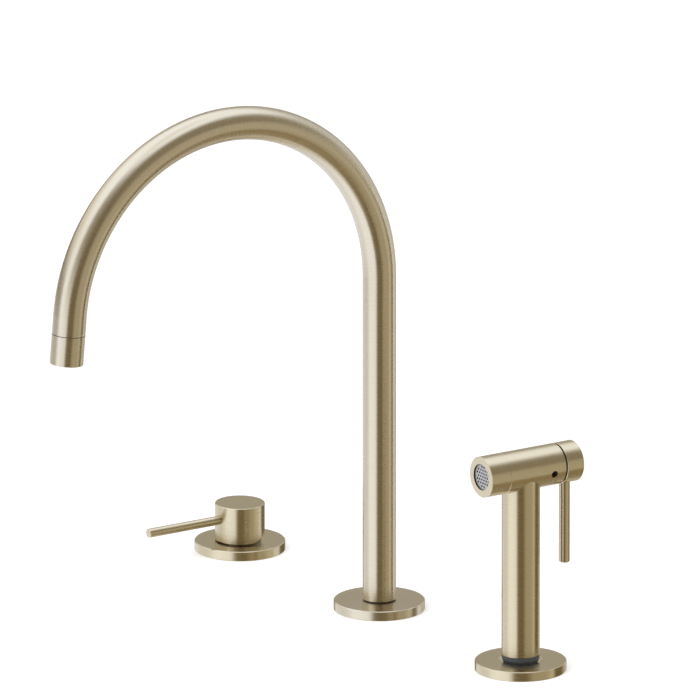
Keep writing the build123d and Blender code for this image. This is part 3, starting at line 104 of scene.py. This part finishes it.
# ---- node helpers ---------------------------------------------------------------------------
class Tree:
    """A node tree in which each call adds one node and returns an output socket."""

    def __init__(self, tree):
        self.tree = tree
        tree.nodes.clear()

    def add(self, kind, inputs=(), output=0, **settings):
        node = self.tree.nodes.new(kind)
        for name, value in settings.items():
            setattr(node, name, value)
        for name, value in dict(inputs).items():
            if isinstance(value, bpy.types.NodeSocket):
                self.tree.links.new(value, node.inputs[name])
            else:
                node.inputs[name].default_value = value
        return node.outputs[output] if node.outputs else node

    def number(self, operation, first, second=0.0, third=0.0):
        inputs = {0: first, 1: second, 2: third}
        return self.add("ShaderNodeMath", inputs, operation=operation)

    def vector(self, operation, first, second=(0, 0, 0), output=0):
        inputs = {0: first, 1: second}
        if operation == "SCALE":
            inputs = {0: first, "Scale": second}
        return self.add("ShaderNodeVectorMath", inputs, output, operation=operation)

    def measure(self, operation, first, second=(0, 0, 0)):
        """Vector operation that gives a number, such as a length."""
        return self.vector(operation, first, second, output=1)

    def remap(self, value, low, high, to_low=0.0, to_high=1.0, **settings):
        """The range from low to high turned into the one from to_low to to_high, and clamped."""
        inputs = {0: value, 1: low, 2: high, 3: to_low, 4: to_high}
        return self.add("ShaderNodeMapRange", inputs, **settings)

    def between(self, share, low, high):
        return self.remap(share, 0.0, 1.0, low, high)

    def pick(self, mask, first, second):
        """Number between first and second."""
        return self.add("ShaderNodeMix", {0: mask, 2: first, 3: second})

    def blend(self, share, first, second):
        """Colour between first and second."""
        return self.add("ShaderNodeMix", {0: share, 6: first, 7: second}, 2, data_type="RGBA")

    def choose(self, mask, first, second):
        """Vector between first and second."""
        return self.add("ShaderNodeMix", {0: mask, 4: first, 5: second}, 1, data_type="VECTOR")

    def object_place(self):
        """Place in metres at rest, which moves with the piece."""
        return self.add("ShaderNodeTexCoord", output=3)

    def normal(self):
        return self.add("ShaderNodeNewGeometry", output=1)

    def to_world(self, direction):
        return self.add("ShaderNodeVectorTransform", {0: direction}, vector_type="VECTOR",
                        convert_from="OBJECT", convert_to="WORLD")


def new_material(name):
    material = bpy.data.materials.new(name)
    material.use_nodes = True
    return material, Tree(material.node_tree)


# ---- brushed metal --------------------------------------------------------------------------
GRAIN_FINE = 1100.0         # grain lines per metre across the brushing
GRAIN_LONG = 30.0           # and along it
LINE_LOW = 0.3              # noise of the darkest and the lightest grain lines
LINE_HIGH = 0.7
CLOUDS = 60.0               # slow changes of tone, per metre
CLOUD_SHARE = 0.2           # of the change of tone; the grain lines give the rest
ROUGHNESS_SPREAD = 0.015    # the grain lines are as much rougher and smoother
FLAT_FACE_POLISH = 0.25     # share by which the flat faces are smoother
GROOVE_DEPTH = 0.000003
FACING = 0.8                # cosine from which on a surface faces a direction
# painted shade: colour that darkens the wall of the recess round the spray face
RECESS_SHADE = (0.075, 0.062, 0.042, 1)


def turned_coordinates(tree, place, centre, axis):
    """Grain coordinates and direction of brushing of a piece that was brushed while it turned."""
    offset = tree.vector("SUBTRACT", place, centre)
    height = tree.measure("DOT_PRODUCT", offset, axis)
    along = tree.vector("SCALE", axis, height)
    outward = tree.vector("SUBTRACT", offset, along)
    radius = tree.measure("LENGTH", outward)
    profile = tree.number("MULTIPLY", tree.number("ADD", height, radius), GRAIN_FINE)
    lines = tree.vector("SCALE", axis, profile)
    grain = tree.vector("ADD", tree.vector("SCALE", outward, GRAIN_LONG), lines)
    around = tree.vector("CROSS_PRODUCT", axis, outward)
    return grain, around


def flat_face(tree, normal, axis):
    """1 where the surface faces along the axis."""
    facing = tree.measure("DOT_PRODUCT", normal, tree.to_world(axis))
    return tree.number("GREATER_THAN", tree.number("ABSOLUTE", facing), FACING)


def bent_coordinates(tree, place):
    """Grain coordinates and axial direction of the spout: a straight rise and an arc."""
    parts = tree.add("ShaderNodeSeparateXYZ", {0: place}).node.outputs
    reach = tree.number("ADD", parts[1], ARC_RADIUS)
    rise = tree.number("SUBTRACT", parts[2], ARC_START)
    in_arc = tree.number("MAXIMUM", tree.number("GREATER_THAN", rise, 0.0),
                         tree.number("LESS_THAN", reach, 0.0))
    angle = tree.number("SUBTRACT", pi / 2, tree.number("ARCTAN2", reach, rise))
    arc_length = tree.number("MULTIPLY_ADD", angle, ARC_RADIUS, ARC_START)
    length = tree.pick(in_arc, parts[2], arc_length)
    from_centre = tree.number("SQRT", tree.number(
        "ADD", tree.number("MULTIPLY", reach, reach), tree.number("MULTIPLY", rise, rise)))
    across = tree.pick(in_arc, reach, from_centre)
    grain = tree.add("ShaderNodeCombineXYZ", {
        0: tree.number("MULTIPLY", parts[0], GRAIN_LONG),
        1: tree.number("MULTIPLY", across, GRAIN_LONG),
        2: tree.number("MULTIPLY", length, GRAIN_FINE),
    })
    spoke = tree.add("ShaderNodeCombineXYZ", {1: reach, 2: rise})
    arc_direction = tree.vector("NORMALIZE", tree.vector("CROSS_PRODUCT", RIGHT, spoke))
    return grain, tree.choose(in_arc, UP, arc_direction)


def metal(name, colours, roughness, coordinates, anisotropy, shade=None):
    """Brushed metal: the grain lines change the tone, the roughness and the height."""
    material, tree = new_material(name)
    place = tree.object_place()
    grain, stretch, flat = coordinates(tree, place)
    lines = tree.add("ShaderNodeTexNoise", {
        "Vector": grain, "Scale": 1.0, "Detail": 4.0, "Roughness": 0.65})
    cloud = tree.add("ShaderNodeTexNoise", {"Vector": place, "Scale": CLOUDS, "Detail": 2.0})
    streak = tree.remap(lines, LINE_LOW, LINE_HIGH)
    tone = tree.number("ADD", tree.between(streak, 0.0, 1 - CLOUD_SHARE),
                       tree.between(cloud, 0.0, CLOUD_SHARE))
    base = tree.blend(tone, (*colours[0], 1), (*colours[1], 1))
    # painted shade: the masked places are darkened towards RECESS_SHADE
    if shade:
        base = tree.blend(shade(tree, place), base, RECESS_SHADE)
    brushed = tree.between(streak, roughness - ROUGHNESS_SPREAD, roughness + ROUGHNESS_SPREAD)
    polish = tree.number("MULTIPLY", flat, FLAT_FACE_POLISH * roughness)
    bump = tree.add("ShaderNodeBump", {"Height": lines, "Distance": GROOVE_DEPTH, "Strength": 1.0})
    shader = tree.add("ShaderNodeBsdfPrincipled", {
        "Base Color": base,
        "Metallic": 1.0,
        "Roughness": tree.number("SUBTRACT", brushed, polish),
        "Anisotropic": anisotropy,
        "Tangent": stretch,
        "Normal": bump,
    })
    tree.add("ShaderNodeOutputMaterial", {"Surface": shader})
    return material


# A function of coordinates gives the grain coordinates, the direction across the grooves and
# 1 on the smoother flat faces.
def turned_about(centre, axis, straight_faces=True):
    """Brushed round the axis; the flat faces in straight lines, or round the axis too."""
    def coordinates(tree, place):
        grain, around = turned_coordinates(tree, place, centre, axis)
        normal = tree.normal()
        flat = flat_face(tree, normal, axis)
        across = tree.vector("CROSS_PRODUCT", tree.to_world(around), normal)
        if not straight_faces:
            return grain, across, flat
        straight = tree.vector("MULTIPLY", place, (GRAIN_FINE, GRAIN_LONG, GRAIN_LONG))
        return (tree.choose(flat, grain, straight),
                tree.choose(flat, across, tree.to_world(RIGHT)), flat)
    return coordinates


def along_spout(tree, place):
    grain, direction = bent_coordinates(tree, place)
    return grain, tree.to_world(direction), 0.0


def from_head_axis(tree, place):
    """Offset from the axis of the spray head."""
    offset = tree.vector("SUBTRACT", place, HEAD_CENTRE)
    return tree.vector("MULTIPLY", offset, (1, 0, 1))


def handle_and_head(tree, place):
    """The handle is brushed round its own axis, and the head round the axis of the head."""
    handle_grain, handle_around = turned_coordinates(tree, place, SPRAY, UP)
    head_grain, head_around = turned_coordinates(tree, place, HEAD_CENTRE, BACK)
    distance = tree.measure("LENGTH", from_head_axis(tree, place))
    on_head = tree.number("LESS_THAN", distance, HEAD_RADIUS + HEAD_MARGIN)
    around = tree.to_world(tree.choose(on_head, handle_around, head_around))
    across = tree.vector("CROSS_PRODUCT", around, tree.normal())
    return tree.choose(on_head, handle_grain, head_grain), across, 0.0


def nozzle_wall_painted_shade(tree, place):
    """1 on the wall of the recess in front of the spray face, where shade is painted into its
    colour.
    """
    outward = tree.to_world(tree.vector("NORMALIZE", from_head_axis(tree, place)))
    facing = tree.measure("DOT_PRODUCT", tree.normal(), outward)
    return tree.number("LESS_THAN", facing, -FACING)


# ---- plastics, rubber and ceramic -----------------------------------------------------------
FINE_GRAIN = 900.0          # per metre
SLOW_GRAIN = 40.0
FINE_SHARE = 0.4            # of the change of tone
MOULDED_SPREAD = 0.05       # of the roughness, to each side
# painted shade: colour that darkens the walls of the holes in the spray face
HOLE_SHADE = (0.004, 0.004, 0.005, 1)
FACE_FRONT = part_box("spray_face_insert")[0].y
HOLE_SHADE_START = 0.00002  # behind the front of the spray face
HOLE_SHADE_END = 0.00020


def moulded(name, colours, roughness, depth=0.00004, shade=None, **extra):
    """A moulded or ground surface with a fine grain and slow changes of tone."""
    material, tree = new_material(name)
    place = tree.object_place()
    fine = tree.add("ShaderNodeTexNoise", {"Vector": place, "Scale": FINE_GRAIN, "Detail": 3.0})
    slow = tree.add("ShaderNodeTexNoise", {"Vector": place, "Scale": SLOW_GRAIN, "Detail": 1.0})
    tone = tree.number("ADD", tree.between(fine, 0.0, FINE_SHARE),
                       tree.between(slow, 0.0, 1 - FINE_SHARE))
    bump = tree.add("ShaderNodeBump", {"Height": fine, "Distance": depth, "Strength": 0.6})
    base = tree.blend(tone, (*colours[0], 1), (*colours[1], 1))
    # painted shade: the masked places are darkened towards HOLE_SHADE
    if shade:
        base = tree.blend(shade(tree, place), base, HOLE_SHADE)
    shader = tree.add("ShaderNodeBsdfPrincipled", {
        "Base Color": base,
        "Roughness": tree.between(slow, roughness - MOULDED_SPREAD, roughness + MOULDED_SPREAD),
        "Normal": bump,
        **extra,
    })
    tree.add("ShaderNodeOutputMaterial", {"Surface": shader})
    return material


def face_holes_painted_shade(tree, place):
    """1 behind the front of the spray face, where shade is painted into the walls of its holes."""
    back = tree.add("ShaderNodeSeparateXYZ", {0: place}, 1)
    return tree.remap(back, FACE_FRONT + HOLE_SHADE_START, FACE_FRONT + HOLE_SHADE_END)


# ---- finishes: two tones of linear colour and a roughness each ------------------------------
CHAMPAGNE = ((0.610, 0.532, 0.380), (0.650, 0.573, 0.419))
CHAMPAGNE_DEEP = ((0.597, 0.512, 0.334), (0.637, 0.552, 0.370))    # of the mixer and the spray
METAL_FINISHES = {
    "brushed_brass": dict(colours=CHAMPAGNE, roughness=0.28, anisotropy=0.8),
    "satin_neck": dict(colours=((0.20, 0.17, 0.12), (0.28, 0.24, 0.17)),
                       roughness=0.40, anisotropy=0.3),
    "raw_brass": dict(colours=((0.62, 0.46, 0.20), (0.76, 0.60, 0.32)),
                      roughness=0.28, anisotropy=0.5),
    "steel": dict(colours=((0.50, 0.50, 0.51), (0.60, 0.60, 0.61)),
                  roughness=0.26, anisotropy=0.5),
}
PLAIN_FINISHES = {
    "black_oxide": moulded("black_oxide", ((0.008, 0.008, 0.009), (0.016, 0.016, 0.017)), 0.45,
                           Metallic=0.4),
    "rubber": moulded("rubber", ((0.014, 0.014, 0.015), (0.032, 0.032, 0.034)), 0.72),
    "grey_plastic": moulded("grey_plastic", ((0.058, 0.064, 0.072), (0.080, 0.087, 0.098)), 0.42),
    "face_plastic": moulded("face_plastic", ((0.46, 0.46, 0.47), (0.56, 0.56, 0.57)), 0.40,
                            shade=face_holes_painted_shade),
    "white_plastic": moulded("white_plastic", ((0.66, 0.66, 0.64), (0.78, 0.78, 0.76)), 0.38),
    "ceramic": moulded("ceramic", ((0.74, 0.74, 0.72), (0.86, 0.86, 0.84)), 0.16, depth=0.00001),
}
WASHER_FINISH = moulded("brown_plastic", ((0.018, 0.012, 0.006), (0.030, 0.021, 0.010)), 0.45)

# Pieces whose axis isn't the vertical axis of their unit.
HEAD_NODES = ["nozzle_collar", "trigger_cap", "spray_valve_stem", "spray_valve_spring"]
AXES = {node: ("head", HEAD_CENTRE, BACK) for node in HEAD_NODES}
AXES["mixer_lever"] = ("lever", middle("mixer_lever"), BACK)
AXES["outlet_collar"] = ("outlet", middle("outlet_collar"), OUTLET_DIRECTION)
AXES["trigger_lever"] = ("trigger", middle("trigger_lever"), UP)
UNITS = (("mixer", MIXER), ("spout", SPOUT), ("spray", SPRAY))
UNIT_REACH = 0.03           # a unit's pieces lie this near to its axis, from side to side


def unit_axis(node):
    x = middle(node).x
    for unit, foot in UNITS:
        if abs(x - foot.x) < UNIT_REACH:
            return unit, foot, UP


metals = {}


def finish_for(node, slot):
    """The material of a CAD node: metals are shared by the pieces that turn about one axis."""
    if node == "spout_thrust_washer":
        return WASHER_FINISH
    if slot in PLAIN_FINISHES:
        return PLAIN_FINISHES[slot]
    look = dict(METAL_FINISHES[slot])
    if slot == "brushed_brass" and abs(middle(node).x) > UNIT_REACH:
        look["colours"] = CHAMPAGNE_DEEP
    if node == "spout_tube":
        return metal("brushed_spout", coordinates=along_spout, **look)
    if node == "spray_handle_body":
        return metal("brushed_handle", coordinates=handle_and_head, **look)
    label, centre, axis = AXES.get(node) or unit_axis(node)
    if node == "nozzle_collar":
        return metal("brushed_nozzle", coordinates=turned_about(centre, axis),
                     shade=nozzle_wall_painted_shade, **look)
    is_disc = node.endswith("base_disc")
    key = slot + "_" + label + ("_disc" if is_disc else "")
    if key not in metals:
        metals[key] = metal(key, coordinates=turned_about(centre, axis, not is_disc), **look)
    return metals[key]


for part in frame["record"]["subparts"]:
    mesh = frame["nodes"][part["node"]].data
    finish = finish_for(part["node"], part["material_slot"])
    mesh.materials.clear()
    mesh.materials.append(finish)


# ---- threads, the seal and painted seam shade in the outlet seam, and the valve spring ------
THREAD_STEPS = 48           # profiles per turn
THREAD_HEIGHT = 0.25        # shares of the pitch
THREAD_CREST = 0.08
THREAD_ROOT = 0.44
THREAD_SINK = 0.00005       # the foot of the ridge lies this deep in the shank
SEAL_STEPS = 96
SPRING_STEPS = 32
ROUND_SIDES = 12            # of the section of the seal and of the wire


def add_mesh(name, points, faces, material):
    """An object in the scene with one material."""
    mesh = bpy.data.meshes.new(name)
    mesh.from_pydata(points, [], faces)
    mesh.materials.append(material)
    thing = bpy.data.objects.new(name, mesh)
    bpy.context.scene.collection.objects.link(thing)
    return thing


def add_piece(name, profiles, closed, node, body, slot):
    """A swept piece in the finish of the node that it sits on."""
    piece = add_mesh(name, *swept(profiles, closed), finish_for(node, slot))
    polygons = piece.data.polygons
    polygons.foreach_set("use_smooth", [True] * len(polygons))
    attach(piece, body)
    return piece


def swept(profiles, closed):
    """Points and faces through a row of equal profiles, closed in a loop or capped at both ends.

    The faces look outward where each profile runs clockwise, seen along the row."""
    corners = len(profiles[0])
    points = [point for profile in profiles for point in profile]
    faces = []
    for row in range(len(profiles) if closed else len(profiles) - 1):
        first, second = row * corners, (row + 1) % len(profiles) * corners
        for corner in range(corners):
            after = (corner + 1) % corners
            faces.append((first + corner, first + after, second + after, second + corner))
    if not closed:
        faces += [tuple(reversed(range(corners))),
                  tuple(range(len(points) - corners, len(points)))]
    return points, faces


def around_axis(origin, axis, angle, radius, height):
    spin = UP.rotation_difference(axis)
    return origin + spin @ Vector((radius * cos(angle), radius * sin(angle), height))


def thread(name, node, body, slot, origin, axis, radius, start, end, pitch):
    """Helical ridge on a shank or tail, running out over half a turn at both ends."""
    rows = round((end - start) / pitch * THREAD_STEPS)
    profiles = []
    for row in range(rows + 1):
        run_out = min(1, 2 * row / THREAD_STEPS, 2 * (rows - row) / THREAD_STEPS)
        crest = THREAD_HEIGHT * pitch * run_out
        turned = start + row * pitch / THREAD_STEPS
        section = [(-THREAD_SINK, THREAD_ROOT), (crest, THREAD_CREST),
                   (crest, -THREAD_CREST), (-THREAD_SINK, -THREAD_ROOT)]
        profiles.append([
            around_axis(origin, axis, 2 * pi * row / THREAD_STEPS, radius + out,
                        turned + share * pitch)
            for out, share in section
        ])
    add_piece(name, profiles, False, node, body, slot)


def round_section():
    """Cosine and sine of the corners of a round section."""
    angles = [2 * pi * side / ROUND_SIDES for side in range(ROUND_SIDES)]
    return [(cos(angle), sin(angle)) for angle in angles]


def seal_and_shade_line(name, node, body, slot, origin, axis, radius, depth, width):
    """Flat ring that shows as a thin dark line in a seam. It is partly a seal's edge and partly a
    dark sheet that stands in for the shade in the gap; radius is its outer radius.
    """
    profiles = [
        [around_axis(origin, axis, 2 * pi * turn / SEAL_STEPS, radius - depth / 2 * (1 - out),
                     -width / 2 * up) for out, up in round_section()]
        for turn in range(SEAL_STEPS)
    ]
    add_piece(name, profiles, True, node, body, slot)


def valve_spring(name, node, body, slot, wire, turns):
    """Compression spring in the place of the node, which the joint presses against its rear
    end; wire is the radius of the wire."""
    low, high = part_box(node)
    centre = middle(node)
    radius = (high.x - low.x) / 2 - wire
    length = high.y - low.y - 2 * wire
    steps = SPRING_STEPS * turns
    profiles = []
    for step in range(steps + 1):
        angle = 2 * pi * step / SPRING_STEPS
        outward = Vector((cos(angle), 0, sin(angle)))
        along = low.y + wire + length * step / steps
        place = Vector((centre.x, along, centre.z)) + outward * radius
        profiles.append([place + wire * (outward * out + BACK * up) for out, up in round_section()])
    spring = add_piece(name, profiles, False, node, body, slot)
    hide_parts(node)
    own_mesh(spring)


SHANK_RADIUS = 0.016
SHANK_END = -0.062
SHANK_PITCH = 0.0015
SHANK_NODES = ("mixer_valve_body", "spout_shank", "spray_socket_shank")
TAIL_RADIUS = 0.0083
TAIL_LENGTH = 0.012
NIPPLE_RADIUS = 0.0075
NIPPLE_LENGTH = 0.014
TAIL_PITCH = 0.00134
TAIL_END = TAIL_LENGTH - TAIL_PITCH / 2
NIPPLE_END = NIPPLE_LENGTH - TAIL_PITCH / 2
tee_low, tee_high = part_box("inlet_tee")
feed_end = SPOUT + UP * tee_low.z
spray_feed_end = Vector((tee_high.x, 0, MOUNTS["spray_feed_tail"].z))
hose_tail_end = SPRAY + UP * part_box("hose_swivel_nipple")[0].z

for (unit, foot), node in zip(UNITS, SHANK_NODES):
    thread(unit + "_shank_thread", node, "deck_units", "raw_brass", foot, UP, SHANK_RADIUS,
           SHANK_END + SHANK_PITCH, -SHANK_PITCH, SHANK_PITCH)
thread("feed_tail_thread", "inlet_tee", "deck_units", "raw_brass", feed_end, UP,
       TAIL_RADIUS, TAIL_PITCH, TAIL_END, TAIL_PITCH)
thread("spray_feed_thread", "inlet_tee", "deck_units", "raw_brass", spray_feed_end, -RIGHT,
       TAIL_RADIUS, TAIL_PITCH, TAIL_END, TAIL_PITCH)
thread("hose_tail_thread", "hose_swivel_nipple", "hose_end", "raw_brass", hose_tail_end, UP,
       NIPPLE_RADIUS, TAIL_PITCH, NIPPLE_END, TAIL_PITCH)
# a rubber seal edge in the outlet seam, which also stands in for the shade in the gap
seal_and_shade_line("outlet_seal_and_shade_line", "aerator_seal", "swivel_spout", "rubber", OUTLET_SEAM,
          OUTLET_DIRECTION, radius=0.01105, depth=0.00024, width=0.00056)
valve_spring("valve_spring_coil", "spray_valve_spring", "handset", "steel", wire=0.00045,
             turns=5)

# ---- studio ---------------------------------------------------------------------------------
STUDIO_CENTRE = target
STUDIO_RADIUS = 3.5
LAYER_STEP = 0.05           # each card stands this much in front of the card before it
CONE_RADIUS = STUDIO_RADIUS - 0.3
CARD_STEP = 5               # degrees
FLOOR_SIZE = 12.0
FLOOR_TONE = (0.8, 0.8, 0.8, 1)
LIFT_START = 0.5            # distance from the middle of the floor where its lift starts to grow
LIFT_END = 3.0
HARD_EDGE = 0.001


def seen_directly(tree):
    """1 for the rays that see the background: camera, glossy and transmission rays."""
    rays = tree.add("ShaderNodeLightPath").node.outputs
    seen = tree.number("MAXIMUM", rays["Is Camera Ray"], rays["Is Glossy Ray"])
    return tree.number("MAXIMUM", seen, rays["Is Transmission Ray"])


def make_world(ambient):
    """White where it is seen, and less light on the surfaces."""
    world = bpy.data.worlds.new("studio")
    world.use_nodes = True
    bpy.context.scene.world = world
    tree = Tree(world.node_tree)
    strength = tree.between(seen_directly(tree), ambient, 1.0)
    light = tree.add("ShaderNodeBackground", {"Color": (1, 1, 1, 1), "Strength": strength})
    tree.add("ShaderNodeOutputWorld", {"Surface": light})


def make_floor(lift, far_lift):
    """Deck surface: white, with the object's shadow; the lift is a glow that lights nothing
    and grows where the lamps no longer reach."""
    material, tree = new_material("floor")
    paint = tree.add("ShaderNodeBsdfDiffuse", {"Color": FLOOR_TONE})
    away = tree.measure("LENGTH", tree.object_place())
    glow_here = tree.remap(away, LIFT_START, LIFT_END, lift, far_lift)
    glow = tree.add("ShaderNodeEmission", {
        "Strength": tree.number("MULTIPLY", seen_directly(tree), glow_here)})
    both = tree.add("ShaderNodeAddShader", {0: paint, 1: glow})
    tree.add("ShaderNodeOutputMaterial", {"Surface": both})
    half = FLOOR_SIZE / 2
    corners = [(-half, -half, 0), (half, -half, 0), (half, half, 0), (-half, half, 0)]
    floor = add_mesh("floor", corners, [(0, 1, 2, 3)], material)
    floor.visible_glossy = False


def on_studio_wall(side, height, radius=STUDIO_RADIUS):
    """Point of the studio wall: side is the angle to the right of the camera, seen from the
    object."""
    turn = AZIMUTH + side
    direction = Vector((sin(turn) * cos(height), -cos(turn) * cos(height), sin(height)))
    return STUDIO_CENTRE + direction * radius


def behind(spread, side):
    """Point at an angle from the line that runs from the camera through the object."""
    across = picture_right * cos(side) + towards_camera.cross(picture_right) * sin(side)
    direction = -towards_camera * cos(spread) + across * sin(spread)
    return STUDIO_CENTRE + direction * CONE_RADIUS


def panel_material(name, colour, strength, soft):
    """Even light that fades out towards the edges of the panel; soft is the share of each half."""
    material, tree = new_material(name)
    material.cycles.emission_sampling = "NONE"
    sheet_place = tree.add("ShaderNodeTexCoord", output=2)
    place = tree.add("ShaderNodeSeparateXYZ", {0: sheet_place}).node.outputs
    mask = 1.0
    for axis in (0, 1):
        from_middle = tree.number("ABSOLUTE", tree.number("MULTIPLY_ADD", place[axis], 2.0, -1.0))
        from_edge = tree.number("SUBTRACT", 1.0, from_middle)
        fade = tree.remap(from_edge, 0.0, max(soft[axis], HARD_EDGE),
                          interpolation_type="SMOOTHSTEP")
        mask = tree.number("MULTIPLY", mask, fade)
    glow = tree.add("ShaderNodeEmission", {"Color": (*colour, 1), "Strength": strength})
    clear = tree.add("ShaderNodeBsdfTransparent")
    mixed = tree.add("ShaderNodeMixShader", {0: mask, 1: clear, 2: glow})
    tree.add("ShaderNodeOutputMaterial", {"Surface": mixed})
    return material


def panel(name, points, columns, colour, strength, soft):
    """A panel that only reflections see, from rows of points: a softbox when bright, a flag
    when dark."""
    rows = len(points) // (columns + 1) - 1
    faces = []
    for row in range(rows):
        for column in range(columns):
            first = row * (columns + 1) + column
            faces.append((first, first + 1, first + columns + 2, first + columns + 1))
    thing = add_mesh(name, points, faces, panel_material(name, colour, strength, soft))
    sheet = thing.data.uv_layers.new(name="sheet")
    for loop in thing.data.loops:
        row, column = divmod(loop.vertex_index, columns + 1)
        sheet.data[loop.index].uv = (column / columns, row / rows)
    thing.visible_camera = False
    thing.visible_diffuse = False
    thing.visible_shadow = False
    thing.visible_transmission = False


layers = count()


def card(name, sides, heights, colour, strength, soft):
    """A card on the studio wall, in front of the cards made before it; angles and soft edges
    in degrees."""
    width, tall = sides[1] - sides[0], heights[1] - heights[0]
    columns = max(2, round(width / CARD_STEP))
    rows = max(2, round(tall / CARD_STEP))
    radius = STUDIO_RADIUS - LAYER_STEP * next(layers)
    points = [
        on_studio_wall(radians(sides[0] + width * column / columns),
                       radians(heights[0] + tall * row / rows), radius)
        for row in range(rows + 1) for column in range(columns + 1)
    ]
    panel(name, points, columns, colour, strength, (2 * soft[0] / width, 2 * soft[1] / tall))


def cone_panel(name, spreads, sides, colour, strength, soft):
    """A panel round the line from the camera through the object; angles in degrees."""
    points = [behind(radians(spread), radians(side)) for spread in spreads for side in sides]
    panel(name, points, len(sides) - 1, colour, strength, soft)


def wall_panel(name, ends, heights, colour, strength, soft):
    """An upright panel over a line on the floor."""
    points = [Vector((*end, height)) for height in heights for end in ends]
    panel(name, points, 1, colour, strength, soft)


def area_light(name, side, height, size, power):
    """A lamp on the studio wall that reflections don't see; angles in degrees."""
    data = bpy.data.lights.new(name, "AREA")
    data.size = size
    data.energy = power
    light = bpy.data.objects.new(name, data)
    light.location = on_studio_wall(radians(side), radians(height))
    light.rotation_euler = (light.location - STUDIO_CENTRE).to_track_quat("Z", "Y").to_euler()
    light.visible_glossy = False
    bpy.context.scene.collection.objects.link(light)


SKY = (0.89, 0.96, 1.16)
COOL = (0.91, 0.96, 1.12)
PALE = (0.96, 0.98, 1.06)
WARM_WHITE = (1.0, 0.95, 0.84)
CREAM = (1.0, 0.94, 0.82)
SAND = (1.0, 0.92, 0.74)
TAN = (1.0, 0.89, 0.70)
BROWN = (1.0, 0.79, 0.44)
RING_SIDES = [-115 + 5 * step for step in range(25)]
FULL_TURN = [15 * step for step in range(25)]

make_world(ambient=0.55)
make_floor(lift=0.35, far_lift=0.62)
# name, sides, heights, colour, strength, soft edges
card("dome", (-180, 180), (26, 90), SKY, 1.56, (0, 20))
card("table_left", (-185, -60), (-90, -8), COOL, 1.20, (20, 12))
card("table_back", (100, 190), (-90, -4), TAN, 0.62, (22, 10))
card("back", (100, 215), (-10, 43), WARM_WHITE, 0.48, (22, 9))
card("patch_right", (102, 136), (-54, 32), PALE, 0.98, (12, 12))
card("patch_upper", (108, 160), (-8, 38), PALE, 0.80, (16, 14))
cone_panel("ring_behind", (19, 23, 27, 31, 35), RING_SIDES, PALE, 0.72, (0.3, 0.8))
cone_panel("behind", (0.5, 6, 11, 17), FULL_TURN, TAN, 0.40, (0.0, 0.0))
card("softbox_left", (-104, 0), (-90, 42), COOL, 1.42, (32, 20))
card("horizon_left", (-170, -64), (-14, 15), TAN, 0.24, (22, 10))
card("canopy_front", (-58, 122), (-6, 70), TAN, 0.34, (30, 24))
card("card_right", (12, 104), (-90, 20), SAND, 0.56, (16, 18))
card("edge_right", (66, 104), (-90, 6), CREAM, 0.80, (16, 16))
card("table_right", (5, 105), (-75, -24), BROWN, 0.36, (20, 10))
card("flag_front", (-27, 34), (-66, 52), BROWN, 0.22, (18, 22))
wall_panel("wall_right", ((0.084, 0.352), (1.6, 2.485)), (-1.2, 0.25), BROWN, 0.20, (0.1, 0.2))
wall_panel("wall_behind_knob", ((-0.241, 0.15), (-0.130, 0.15)), (-0.12, 0.03), BROWN, 0.18,
           (0.2, 0.2))
area_light("key", -50, 50, size=2.4, power=60)
area_light("fill", 60, 40, size=2.4, power=40)
